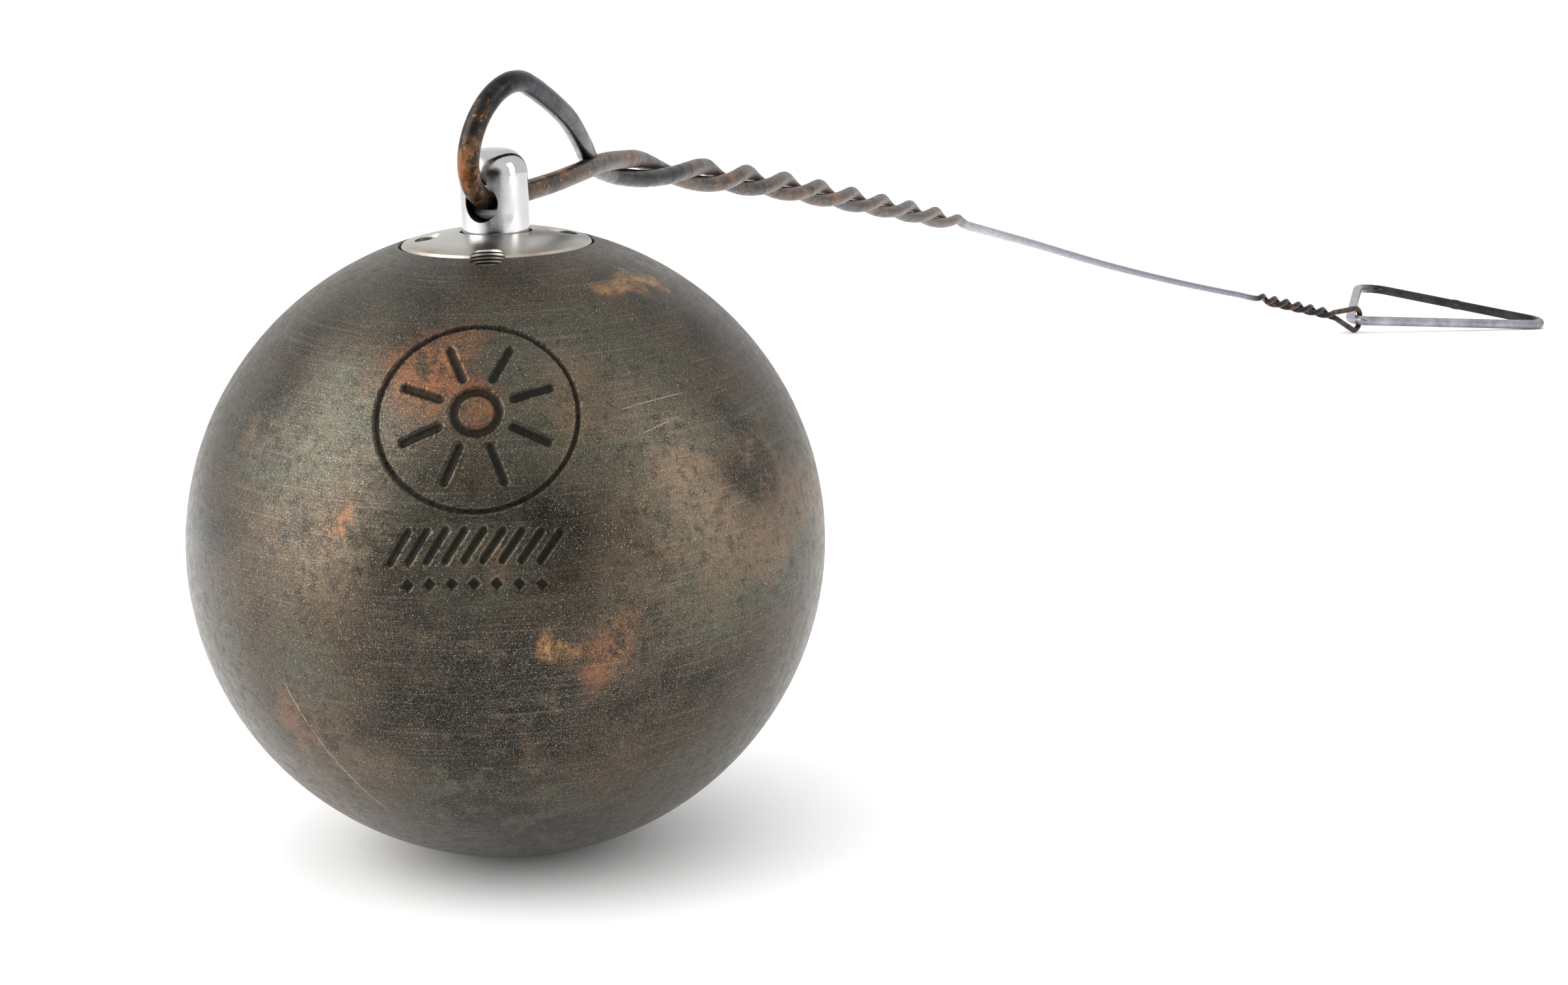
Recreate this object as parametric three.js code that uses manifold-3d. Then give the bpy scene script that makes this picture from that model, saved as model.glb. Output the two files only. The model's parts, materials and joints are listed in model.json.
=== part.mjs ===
// Throwing hammer for athletics: a weighted steel ball, a ball-bearing swivel set into its
// crown, a twisted spring-steel wire and a bent-rod grip. Millimetres, +Z up, origin where the
// ball touches the ground. The wire runs away along +Y and the grip lies on the ground.

import * as THREE from 'three';
import { mergeVertices } from 'three/addons/utils/BufferGeometryUtils.js';
import Module from 'manifold-3d';

const wasm = await Module();
wasm.setup();

// Driving dimensions --------------------------------------------------------------------------
const GAP = 0.3;                       // running and assembly clearance

const BALL_DIAMETER = 95;
const GROUND_FLAT_RADIUS = 3.8;        // small worn flat that the ball stands on
const STEM_LEAN = 6.5;                 // degrees, swivel axis towards -Y
const STEM_LEAN_LEFT = 0.6;            // degrees, swivel axis towards -X
const HOLE_AZIMUTH = 72;               // degrees from +X, direction of the stem's cross hole

const FLANGE_RADIUS = 13.75;
const HOUSING_BOTTOM = 17.5;           // heights along the swivel axis, from the ball's centre
const HOUSING_SHOULDER = 38;
const NECK_LIP = 45;
const NECK_LIP_RADIUS = 5.3;
const BUSH_BORE_RADIUS = 5.2;
const BUSH_SEAT_RADIUS = 6.4;
const BEARING_SEAT_RADIUS = 10.4;
const SPANNER_HOLE = { radius: 1.8, depth: 4.5, offset: 10, angle: 32 };
const LOCK_SCREW = { radius: 2.3, top: 43, bottom: 37.6, angle: -69.4, socket: 1.3, socketDepth: 2.4 };
const CORE = { radius: 12.7, bottom: -30.7, top: 14.5 };
const SEAL_THICKNESS = 2.1;
const CAP = { bottom: 18, top: 19.5 };

const STEM_RADIUS = 4.9;
const STEM_TOP = 58.8;
const STEM_BOTTOM = 21.5;
const HOLE_HEIGHT = 51.6;
const HOLE_RADIUS = 2.6;
const HOLE_WEAR_RADIUS = 1.95;         // ring-shaped wear that follows the wire's bend
const STEM_END = { chamfer: 0.8, inset: 0.7 };
// Radius and distance below the top along the stem's rounded end.
const STEM_DOME = [[STEM_RADIUS, 3.2], [4.75, 1.7], [4.2, 0.7], [3, 0.15], [0, 0]];

const BALL_COUNT = 9;
const BEARING_BALL_RADIUS = 1.75;
const BEARING_PITCH_RADIUS = 7.6;
const BEARING_HEIGHT = 33.8;
const RACE = { inner: 5.2, outer: 10.1, thickness: 1.85, clearance: 0.15 };
const CAGE = { inner: 5.2, outer: 10, thickness: 1.2 };
const NUT = { bottom: 23, top: 29.6, acrossFlats: 15 };
const PIN = { radius: 1, length: 16, height: 26.3 };

const WIRE_RADIUS = 1.55;
const WIRE_SIDES = 8;
const STRAND_OFFSET = 1.66;            // from the twist's axis to each strand's centre
const LOOP_RADIUS = 8.7;
const LOOP_LEAN = 15;                  // degrees, loop plane leaning to the right of the stem
const LOOP_YAW = 8;                    // degrees, loop plane turned to the right of the cross hole
const UPPER_LEG_ANGLE = 20;            // degrees, fall of the loop's upper leg
const FIRST_HALF_TURN = 53;            // station of the tail strand's first low point
const OPEN_HALF_PITCH = 41;
const TIGHT_HALF_PITCH = 28;
const HALF_PITCH_GROWTH = 0.06;
const NEAR_TAIL_END = 322;
const NEAR_TWIST_FADE = [322, 362];
const FAR_LOOP_RADIUS = 6.4;
const FAR_LOOP_LEG = 24;
const FAR_TWIST_LENGTH = 92;
const FAR_HALF_PITCH = 15;
const FAR_TWIST_FADE = 14;
// How far the near loop's legs keep straight on as they leave the loop and as they meet the twist.
const LEG_REACH = { lower: 24, upper: 22, twist: 12 };
const NEAR_STEP = 4.6;                 // lengths between the wire's stations
const RUN_STEP = 16;
const FAR_STEP = 2.7;

const GRIP_ROD_RADIUS = 2.75;
const GRIP_WIDTH = 140;                // bar length between sharp corners, on the rod's centre
const GRIP_HEIGHT = 122;               // sharp apex to bar, on the rod's centre
const GRIP_APEX_BEND = 7;
const GRIP_CORNER_BEND = 12;
const GRIP_ROD_SIDES = 10;
const GRIP_AZIMUTH = 42.3;             // degrees from +X, direction from apex to bar
const GRIP_PITCH = 1.5;                // degrees, rise from apex to bar
const GRIP_ROLL = 7.2;                 // degrees, left side of the grip up
const GRIP_EYE_CLEARANCE = 0.35;
const WELD = { half: 2.2, crestHalf: 0.9, proud: 0.25 };

// The wire's route from where the near loop's legs meet to the centre of the far loop.
const WIRE_ROUTE = [
  [12.4, 42.6, 102.9], [25.3, 90.8, 101], [38.3, 139, 98.6], [51.2, 187.3, 95.4],
  [64.2, 235.6, 92], [77.1, 283.9, 88.6], [90, 332.2, 85], [103, 380.5, 81],
  [123.8, 452.7, 74.6], [142.3, 504.6, 69], [163.4, 555.5, 62.4], [187.2, 605.2, 55.2],
  [213.6, 653.5, 47.8], [242.5, 700.4, 40.3], [273.9, 745.8, 32.8], [307.6, 789.4, 25.3],
  [343.5, 831.1, 16.6], [380, 869, 8.1],
];

// Frames --------------------------------------------------------------------------------------
const rad = THREE.MathUtils.degToRad;
const UP = new THREE.Vector3(0, 0, 1);
const ballRadius = BALL_DIAMETER / 2;
const ballCentre = new THREE.Vector3(0, 0, Math.sqrt(ballRadius ** 2 - GROUND_FLAT_RADIUS ** 2));

function swivelFrame() {
  const axis = new THREE.Vector3(-Math.sin(rad(STEM_LEAN_LEFT)), -Math.sin(rad(STEM_LEAN)), 0);
  axis.z = Math.sqrt(1 - axis.lengthSq());
  const hole = new THREE.Vector3(Math.cos(rad(HOLE_AZIMUTH)), Math.sin(rad(HOLE_AZIMUTH)), 0);
  hole.addScaledVector(axis, -hole.dot(axis)).normalize();
  const side = new THREE.Vector3().crossVectors(hole, axis);
  return new THREE.Matrix4().makeBasis(side, hole, axis);
}

const swivelTurn = swivelFrame();
const swivelToWorld = swivelTurn.clone().setPosition(ballCentre);

// Solids --------------------------------------------------------------------------------------
function toSolid(geometry) {
  const bare = geometry.clone();
  bare.deleteAttribute('normal');
  bare.deleteAttribute('uv');
  const merged = mergeVertices(bare, 1e-4);
  return new wasm.Manifold(new wasm.Mesh({
    numProp: 3,
    vertProperties: new Float32Array(merged.attributes.position.array),
    triVerts: new Uint32Array(merged.index.array),
  }));
}

function toGeometry(solid) {
  const mesh = solid.getMesh();
  const geometry = new THREE.BufferGeometry();
  geometry.setAttribute('position', new THREE.BufferAttribute(mesh.vertProperties, 3));
  geometry.setIndex(new THREE.BufferAttribute(mesh.triVerts, 1));
  geometry.computeVertexNormals();
  return geometry;
}

function cut(geometry, ...cutters) {
  const solid = cutters.reduce((left, cutter) => left.subtract(toSolid(cutter)), toSolid(geometry));
  return toGeometry(solid);
}

function join(first, ...others) {
  return toGeometry(others.reduce((sum, other) => sum.add(toSolid(other)), toSolid(first)));
}

// A turned piece about +Z, from [radius, height] points going anticlockwise in the half plane.
function turned(profile, segments) {
  const points = profile.map(([r, z]) => new THREE.Vector2(r, z));
  return new THREE.LatheGeometry(points, segments).rotateX(Math.PI / 2);
}

function ring(inner, outer, bottom, top, segments = 32) {
  const start = [inner, bottom];
  return turned([start, [outer, bottom], [outer, top], [inner, top], start], segments);
}

function rod(radius, bottom, top, segments = 24) {
  return turned([[0, bottom], [radius, bottom], [radius, top], [0, top]], segments);
}

function polar(radius, degrees, height) {
  return [radius * Math.cos(rad(degrees)), radius * Math.sin(rad(degrees)), height];
}

function regularOutline(radius, sides) {
  const corners = [];
  for (let i = 0; i < sides; i += 1) {
    const angle = (2 * Math.PI * i) / sides;
    corners.push(new THREE.Vector2(radius * Math.cos(angle), radius * Math.sin(angle)));
  }
  return new THREE.Shape(corners);
}

function hexPrism(acrossFlats, bottom, top) {
  const shape = regularOutline(acrossFlats / Math.sqrt(3), 6);
  const prism = new THREE.ExtrudeGeometry(shape, { depth: top - bottom, bevelEnabled: false });
  return prism.translate(0, 0, bottom);
}

// Stations follow the control points, so a tight stretch gets as many as it has points.
class StationCurve extends THREE.CatmullRomCurve3 {
  getPointAt(t, target) {
    return this.getPoint(t, target);
  }

  getTangentAt(t, target) {
    return this.getTangent(t, target);
  }
}

function tube(points, radius, sides) {
  const path = new StationCurve(points, false, 'centripetal');
  const shape = regularOutline(radius, sides);
  const steps = points.length - 1;
  return new THREE.ExtrudeGeometry(shape, { steps, bevelEnabled: false, extrudePath: path });
}

// Ball and its filling ------------------------------------------------------------------------
function ballShell() {
  const profile = [[0, -ballCentre.z], [GROUND_FLAT_RADIUS, -ballCentre.z]];
  const bands = 26;
  const start = Math.asin(GROUND_FLAT_RADIUS / ballRadius);
  for (let i = 1; i < bands; i += 1) {
    const angle = start + ((Math.PI - start) * i) / bands;
    profile.push([ballRadius * Math.sin(angle), -ballRadius * Math.cos(angle)]);
  }
  profile.push([0, ballRadius]);
  const bore = turned([
    [0, CORE.bottom - GAP], [CORE.radius + GAP, CORE.bottom - GAP],
    [CORE.radius + GAP, HOUSING_BOTTOM - GAP], [FLANGE_RADIUS + GAP, HOUSING_BOTTOM - GAP],
    [FLANGE_RADIUS + GAP, ballRadius + 5], [0, ballRadius + 5],
  ], 44);
  const cutters = [bore, lockScrewHole()].map((cutter) => cutter.applyMatrix4(swivelTurn));
  return cut(turned(profile, 52), ...cutters);
}

function lockScrewHole() {
  const [x, y] = polar(FLANGE_RADIUS, LOCK_SCREW.angle, 0);
  const hole = rod(LOCK_SCREW.radius + GAP, LOCK_SCREW.bottom - GAP, ballRadius + 2, 20);
  return hole.translate(x, y, 0);
}

function lockScrew() {
  const [x, y] = polar(FLANGE_RADIUS, LOCK_SCREW.angle, 0);
  const body = rod(LOCK_SCREW.radius, LOCK_SCREW.bottom, LOCK_SCREW.top, 20);
  const socketFloor = LOCK_SCREW.top - LOCK_SCREW.socketDepth;
  const socket = hexPrism(LOCK_SCREW.socket * 2, socketFloor, LOCK_SCREW.top + 1);
  return cut(body, socket).translate(x, y, 0);
}

// Swivel --------------------------------------------------------------------------------------
function crownHeight(radius) {
  return Math.sqrt(ballRadius ** 2 - radius ** 2);
}

function swivelHousing() {
  const crown = [FLANGE_RADIUS, 11, 8, NECK_LIP_RADIUS].map((r) => [r, crownHeight(r)]);
  const body = turned([
    [BEARING_SEAT_RADIUS, HOUSING_BOTTOM], [FLANGE_RADIUS, HOUSING_BOTTOM], ...crown,
    [NECK_LIP_RADIUS, NECK_LIP], [BUSH_SEAT_RADIUS, NECK_LIP],
    [BUSH_SEAT_RADIUS, HOUSING_SHOULDER], [BEARING_SEAT_RADIUS, HOUSING_SHOULDER],
    [BEARING_SEAT_RADIUS, HOUSING_BOTTOM],
  ], 44);
  const spannerHoles = [0, 180].map((turn) => {
    const [x, y] = polar(SPANNER_HOLE.offset, SPANNER_HOLE.angle + turn, 0);
    const floor = crownHeight(SPANNER_HOLE.offset) - SPANNER_HOLE.depth;
    return rod(SPANNER_HOLE.radius, floor, ballRadius + 1, 16).translate(x, y, 0);
  });
  return cut(body, ...spannerHoles, lockScrewHole());
}

function neckBush() {
  const outer = BUSH_SEAT_RADIUS - GAP;
  return ring(BUSH_BORE_RADIUS, outer, HOUSING_SHOULDER + GAP, NECK_LIP - GAP);
}

// A bearing washer with a shallow groove on the face towards the balls.
function race(bottom) {
  const washer = ring(RACE.inner, RACE.outer, bottom, bottom + RACE.thickness, 36);
  const groove = new THREE.TorusGeometry(BEARING_PITCH_RADIUS, BEARING_BALL_RADIUS + GAP, 12, 36);
  return cut(washer, groove.translate(0, 0, BEARING_HEIGHT));
}

function bearingCage() {
  const half = CAGE.thickness / 2;
  const plate = ring(CAGE.inner, CAGE.outer, BEARING_HEIGHT - half, BEARING_HEIGHT + half, 36);
  const pockets = [];
  for (let i = 0; i < BALL_COUNT; i += 1) {
    const [x, y] = polar(BEARING_PITCH_RADIUS, (360 * i) / BALL_COUNT, BEARING_HEIGHT);
    pockets.push(rod(BEARING_BALL_RADIUS + GAP, -2, 2, 16).translate(x, y, BEARING_HEIGHT));
  }
  return cut(plate, ...pockets);
}

function crossPin() {
  return rod(PIN.radius, -PIN.length / 2, PIN.length / 2, 12).rotateY(Math.PI / 2);
}

function crossPinHole() {
  const reach = PIN.length / 2 + 2;
  return rod(PIN.radius + GAP, -reach, reach, 12).rotateY(Math.PI / 2).translate(0, 0, PIN.height);
}

function spindleNut() {
  const blank = hexPrism(NUT.acrossFlats, NUT.bottom, NUT.top);
  return cut(blank, rod(STEM_RADIUS + GAP, NUT.bottom - 1, NUT.top + 1), crossPinHole());
}

function swivelStem() {
  const body = turned([
    [0, STEM_BOTTOM], [STEM_RADIUS - STEM_END.inset, STEM_BOTTOM],
    [STEM_RADIUS, STEM_BOTTOM + STEM_END.chamfer],
    ...STEM_DOME.map(([radius, drop]) => [radius, STEM_TOP - drop]),
  ], 36);
  const reach = STEM_RADIUS + 3;
  const bore = rod(HOLE_RADIUS, -reach, reach, 24).rotateX(Math.PI / 2);
  bore.translate(0, 0, HOLE_HEIGHT);
  const wear = new THREE.TorusGeometry(LOOP_RADIUS, HOLE_WEAR_RADIUS, 14, 56);
  wear.rotateY(Math.PI / 2).rotateY(rad(LOOP_LEAN)).rotateZ(-rad(LOOP_YAW));
  wear.translate(...loopPoint(0, LOOP_RADIUS).toArray());
  return cut(body, bore, wear, crossPinHole());
}

// Wire ----------------------------------------------------------------------------------------
// A point of the near loop, in the swivel's frame: along the hole and up the leaning loop.
function loopPoint(along, up) {
  const lean = rad(LOOP_LEAN);
  const point = new THREE.Vector3(up * Math.sin(lean), along, HOLE_HEIGHT + up * Math.cos(lean));
  return point.applyAxisAngle(UP, -rad(LOOP_YAW));
}

// A leg of the near loop, from the loop with a given fall to the start of its strand.
function nearLeg(from, fall, reach, strandAngle) {
  const heading = loopPoint(Math.cos(fall), -Math.sin(fall)).sub(loopPoint(0, 0));
  const root = from.clone().applyMatrix4(swivelToWorld);
  const leaving = from.clone().addScaledVector(heading, reach).applyMatrix4(swivelToWorld);
  const end = strandPoint(0, strandAngle, STRAND_OFFSET);
  const meeting = end.clone().addScaledVector(routeFrame(0).along, -LEG_REACH.twist);
  return new THREE.CubicBezierCurve3(root, leaving, meeting, end);
}

function nearLoopPoints() {
  const fall = rad(UPPER_LEG_ANGLE);
  const arc = [];
  const arcSteps = 14;
  for (let i = 0; i <= arcSteps; i += 1) {
    const angle = -Math.PI / 2 - ((Math.PI + fall) * i) / arcSteps;
    arc.push(loopPoint(LOOP_RADIUS * Math.cos(angle), LOOP_RADIUS * (1 + Math.sin(angle))));
  }
  const lower = nearLeg(arc[0], 0, LEG_REACH.lower, nearTwistAngle(0));
  const upper = nearLeg(arc[arcSteps], fall, LEG_REACH.upper, nearTwistAngle(0) + Math.PI);
  return [
    ...[0.76, 0.5, 0.25].map((t) => lower.getPoint(t)),
    ...arc.map((point) => point.applyMatrix4(swivelToWorld)),
    ...[0.25, 0.5, 0.76].map((t) => upper.getPoint(t)),
  ];
}

const routePoints = WIRE_ROUTE.map((point) => new THREE.Vector3(...point));
const route = new THREE.CatmullRomCurve3(routePoints, false, 'centripetal');
route.arcLengthDivisions = 600;
const routeLength = route.getLength();

// Axes across the route at a station: its centre, its right-hand side and its upward side.
function routeFrame(station) {
  const t = THREE.MathUtils.clamp(station / routeLength, 0, 1);
  const centre = route.getPointAt(t);
  const along = route.getTangentAt(t);
  const right = new THREE.Vector3().crossVectors(along, UP).normalize();
  const up = new THREE.Vector3().crossVectors(right, along);
  return { centre, along, right, up };
}

function strandPoint(station, angle, offset) {
  const { centre, right, up } = routeFrame(station);
  return centre
    .addScaledVector(right, offset * Math.cos(angle))
    .addScaledVector(up, offset * Math.sin(angle));
}

// The near twist winds left-handed and opens slowly away from the ball.
function nearTwistAngle(station) {
  const past = station - FIRST_HALF_TURN;
  const turns = past < 0
    ? past / OPEN_HALF_PITCH
    : Math.log(1 + (HALF_PITCH_GROWTH * past) / TIGHT_HALF_PITCH) / HALF_PITCH_GROWTH;
  return Math.PI * (1.5 + turns);
}

const farTwistStart = routeLength - FAR_LOOP_LEG - FAR_TWIST_LENGTH;

function farTwistAngle(station) {
  return Math.PI * (0.5 + (station - (routeLength - FAR_LOOP_LEG)) / FAR_HALF_PITCH);
}

function farLoopPoints() {
  const { centre, along, up } = routeFrame(routeLength);
  const fall = Math.asin((FAR_LOOP_RADIUS - STRAND_OFFSET - 0.6) / FAR_LOOP_LEG);
  const place = (x, y) => centre.clone().addScaledVector(along, x).addScaledVector(up, y);
  const legEnd = [-FAR_LOOP_RADIUS * Math.sin(fall), FAR_LOOP_RADIUS * Math.cos(fall)];
  const legPoint = (t, side) => place(
    THREE.MathUtils.lerp(legEnd[0], -FAR_LOOP_LEG, t),
    side * THREE.MathUtils.lerp(legEnd[1], STRAND_OFFSET, t),
  );
  const arc = [];
  const steps = 12;
  for (let i = 0; i <= steps; i += 1) {
    const angle = THREE.MathUtils.lerp(Math.PI / 2 + fall, -Math.PI / 2 - fall, i / steps);
    arc.push(place(FAR_LOOP_RADIUS * Math.cos(angle), FAR_LOOP_RADIUS * Math.sin(angle)));
  }
  return [legPoint(0.7, 1), legPoint(0.35, 1), ...arc, legPoint(0.35, -1), legPoint(0.7, -1)];
}

function wirePoints() {
  const points = [];
  for (let s = NEAR_TAIL_END; s > 0; s -= NEAR_STEP) {
    points.push(strandPoint(s, nearTwistAngle(s), STRAND_OFFSET));
  }
  points.push(...nearLoopPoints());
  const [fadeStart, fadeEnd] = NEAR_TWIST_FADE;
  for (let s = 2; s < fadeEnd; s += NEAR_STEP) {
    const fade = 1 - THREE.MathUtils.smoothstep(s, fadeStart, fadeEnd);
    points.push(strandPoint(s, nearTwistAngle(s) + Math.PI, STRAND_OFFSET * fade));
  }
  const farFadeStart = farTwistStart - FAR_TWIST_FADE;
  for (let s = fadeEnd + RUN_STEP; s < farFadeStart; s += RUN_STEP) {
    points.push(strandPoint(s, 0, 0));
  }
  const legRoot = routeLength - FAR_LOOP_LEG;
  for (let s = farFadeStart + 6; s <= legRoot; s += FAR_STEP) {
    const grow = THREE.MathUtils.smoothstep(s, farFadeStart, farTwistStart);
    points.push(strandPoint(s, farTwistAngle(s), STRAND_OFFSET * grow));
  }
  points.push(...farLoopPoints());
  for (let s = legRoot; s > farTwistStart + 3; s -= FAR_STEP) {
    points.push(strandPoint(s, farTwistAngle(s) + Math.PI, STRAND_OFFSET));
  }
  return points;
}

function hammerWire() {
  return tube(wirePoints(), WIRE_RADIUS, WIRE_SIDES);
}

// Grip ----------------------------------------------------------------------------------------
// Its own frame: x across the grip to the right, y from apex to bar, origin at the apex's rod.
function gripPoints() {
  const half = Math.atan2(GRIP_WIDTH / 2, GRIP_HEIGHT);
  const corner = (Math.PI / 2 - half) / 2;
  const tip = GRIP_APEX_BEND / Math.sin(half) - GRIP_APEX_BEND;
  const bends = [];
  const addArc = (cx, cy, radius, from, to, steps) => {
    for (let i = 0; i <= steps; i += 1) {
      const angle = THREE.MathUtils.lerp(from, to, i / steps);
      bends.push(new THREE.Vector3(cx + radius * Math.cos(angle), cy + radius * Math.sin(angle), 0));
    }
  };
  const barY = GRIP_HEIGHT - tip;
  const cornerX = GRIP_WIDTH / 2 - GRIP_CORNER_BEND / Math.tan(corner);
  const cornerY = barY - GRIP_CORNER_BEND;
  bends.push(new THREE.Vector3(0.15, barY, 0));
  bends.push(new THREE.Vector3(cornerX * 0.5, barY, 0));
  addArc(cornerX, cornerY, GRIP_CORNER_BEND, Math.PI / 2, -half, 8);
  addArc(0, GRIP_APEX_BEND, GRIP_APEX_BEND, -half, half - Math.PI, 8);
  addArc(-cornerX, cornerY, GRIP_CORNER_BEND, Math.PI + half, Math.PI / 2, 8);
  bends.push(new THREE.Vector3(-cornerX * 0.5, barY, 0));
  bends.push(new THREE.Vector3(-0.15, barY, 0));
  return { points: bends, barY };
}

function straightened(points) {
  const result = [];
  points.forEach((point, i) => {
    const previous = points[i - 1];
    if (previous && previous.distanceTo(point) > 24) {
      for (const t of [0.06, 0.5, 0.94]) result.push(previous.clone().lerp(point, t));
    }
    result.push(point);
  });
  return result;
}

function gripFrame() {
  const { points, barY } = gripPoints();
  const bentRod = tube(straightened(points), GRIP_ROD_RADIUS, GRIP_ROD_SIDES);
  const crest = GRIP_ROD_RADIUS + WELD.proud;
  const foot = GRIP_ROD_RADIUS * 0.9;
  const weld = turned([
    [0, -WELD.half], [foot, -WELD.half], [crest, -WELD.crestHalf],
    [crest, WELD.crestHalf], [foot, WELD.half], [0, WELD.half],
  ], 16);
  return join(bentRod, weld.rotateY(Math.PI / 2).translate(0, barY, 0));
}

function gripPlacement() {
  const turn = new THREE.Matrix4().makeRotationZ(rad(GRIP_AZIMUTH - 90));
  const pitch = new THREE.Matrix4().makeRotationX(rad(GRIP_PITCH));
  const roll = new THREE.Matrix4().makeRotationY(rad(GRIP_ROLL));
  const { centre, along } = routeFrame(routeLength);
  const play = FAR_LOOP_RADIUS - WIRE_RADIUS - GRIP_ROD_RADIUS - GRIP_EYE_CLEARANCE;
  const apex = centre.addScaledVector(along, play);
  return turn.multiply(pitch).multiply(roll).setPosition(apex);
}

// Assembly ------------------------------------------------------------------------------------
function finish(color, roughness, metalness) {
  return new THREE.MeshStandardMaterial({ color, roughness, metalness });
}

const blackenedSteel = finish(0x4a4640, 0.42, 0.75);
const stainless = finish(0xb9b6b0, 0.28, 1);
const darkSteel = finish(0x3a3632, 0.5, 0.8);
const tungsten = finish(0x6f6f72, 0.6, 0.7);
const bronze = finish(0x9c7a3c, 0.4, 1);
const bearingSteel = finish(0xd0d2d4, 0.15, 1);
const springSteel = finish(0x6a584a, 0.5, 0.8);
const gripSteel = finish(0xa9adb2, 0.35, 0.9);

const hammer = new THREE.Group();
const swivel = new THREE.Group();
swivel.applyMatrix4(swivelToWorld);
hammer.add(swivel);

function piece(parent, name, geometry, material) {
  const mesh = new THREE.Mesh(geometry, material);
  mesh.name = name;
  parent.add(mesh);
  return mesh;
}

piece(hammer, 'head_shell', ballShell(), blackenedSteel).position.copy(ballCentre);
piece(swivel, 'core_filling', rod(CORE.radius, CORE.bottom, CORE.top, 40), tungsten);
const sealBottom = CORE.top + GAP;
piece(swivel, 'core_seal', rod(CORE.radius, sealBottom, sealBottom + SEAL_THICKNESS, 40), darkSteel);
piece(swivel, 'swivel_housing', swivelHousing(), stainless);
piece(swivel, 'housing_cap', rod(BEARING_SEAT_RADIUS - GAP, CAP.bottom, CAP.top, 32), darkSteel);
piece(swivel, 'lock_screw', lockScrew(), darkSteel);
piece(swivel, 'neck_bush', neckBush(), bronze);
const upperRaceBottom = HOUSING_SHOULDER - GAP - RACE.thickness;
const lowerRaceBottom = BEARING_HEIGHT - BEARING_BALL_RADIUS - RACE.clearance - RACE.thickness;
piece(swivel, 'upper_race', race(upperRaceBottom), bearingSteel);
piece(swivel, 'lower_race', race(lowerRaceBottom), bearingSteel);
piece(swivel, 'bearing_cage', bearingCage(), bronze);
for (let i = 0; i < BALL_COUNT; i += 1) {
  const sphere = new THREE.SphereGeometry(BEARING_BALL_RADIUS, 12, 8);
  const ball = piece(swivel, `bearing_ball_${i + 1}`, sphere, bearingSteel);
  ball.position.set(...polar(BEARING_PITCH_RADIUS, (360 * i) / BALL_COUNT, BEARING_HEIGHT));
}
piece(swivel, 'spindle_nut', spindleNut(), stainless);
piece(swivel, 'nut_pin', crossPin(), darkSteel).position.z = PIN.height;
piece(swivel, 'swivel_stem', swivelStem(), stainless);
piece(hammer, 'hammer_wire', hammerWire(), springSteel);
piece(hammer, 'grip_frame', gripFrame(), gripSteel).applyMatrix4(gripPlacement());

export default hammer;
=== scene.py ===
import json
import math

import bpy
import numpy as np
from mathutils import Matrix, Vector


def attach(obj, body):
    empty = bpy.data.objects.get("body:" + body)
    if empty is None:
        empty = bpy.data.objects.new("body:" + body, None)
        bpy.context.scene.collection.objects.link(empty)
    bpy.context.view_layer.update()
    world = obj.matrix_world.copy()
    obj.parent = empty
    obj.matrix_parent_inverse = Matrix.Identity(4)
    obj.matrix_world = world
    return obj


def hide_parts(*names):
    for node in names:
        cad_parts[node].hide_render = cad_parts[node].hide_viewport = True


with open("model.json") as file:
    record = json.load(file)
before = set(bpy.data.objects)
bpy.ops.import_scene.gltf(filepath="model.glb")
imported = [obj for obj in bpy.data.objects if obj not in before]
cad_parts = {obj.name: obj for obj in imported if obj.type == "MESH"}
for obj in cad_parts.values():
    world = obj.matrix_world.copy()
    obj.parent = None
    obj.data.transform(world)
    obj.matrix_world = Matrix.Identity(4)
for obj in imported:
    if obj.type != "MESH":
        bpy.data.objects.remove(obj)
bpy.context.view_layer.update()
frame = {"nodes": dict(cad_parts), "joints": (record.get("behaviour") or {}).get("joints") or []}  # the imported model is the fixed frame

print("frame loaded:", len(frame["nodes"]), "nodes")

mm = 0.001
joints = {joint["name"]: joint for joint in frame["joints"]}
ballCentre = np.array(joints["swivel_spin"]["pos_m"]) / mm
axisUp = np.array(joints["swivel_spin"]["axis"])
axisUp /= np.linalg.norm(axisUp)
holeAzimuth = math.radians(72)  # compass direction of the stem's cross hole
axisHole = np.array([math.cos(holeAzimuth), math.sin(holeAzimuth), 0.0])
axisHole -= axisUp * axisHole.dot(axisUp)
axisHole /= np.linalg.norm(axisHole)
axisSide = np.cross(axisHole, axisUp)
swivelTurn = np.column_stack([axisSide, axisHole, axisUp])


camera = {
    "place": (0.04125, -0.29112, 0.10509),
    "pitch": 80.15,
    "lens": 44.85,
    "sensor": 36.0,
}
studio = {
    "floorSide": 60.0,
    "floorFront": -0.30,  # the paper ends below the camera
    "floorTone": 0.88,
    "backdrop": 1.1,
    "tentLight": 0.95,
    "dimGap": {"light": 0.03, "from": 0.72, "to": 0.94},   # the dark gap behind the camera
    "dimFar": {"share": 0.12, "from": 0.25, "to": 0.9},    # the tent's far wall is less lit
    "leftBox": {"place": (-0.75, -0.30, 0.45), "size": (0.8, 1.0), "power": 8.5},
    "rightBox": {"place": (0.85, -0.22, 0.40), "size": (0.35, 0.8), "power": 1.8},
    # soft suns that light the scene but are not mirrored in the polished metal
    "roofLight": {"strength": 1.1, "spread": 110.0, "tilt": (-10.0, -6.0)},
    "fillLight": {"strength": 1.3, "spread": 100.0, "tilt": (64.0, 4.0)},
}


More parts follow.
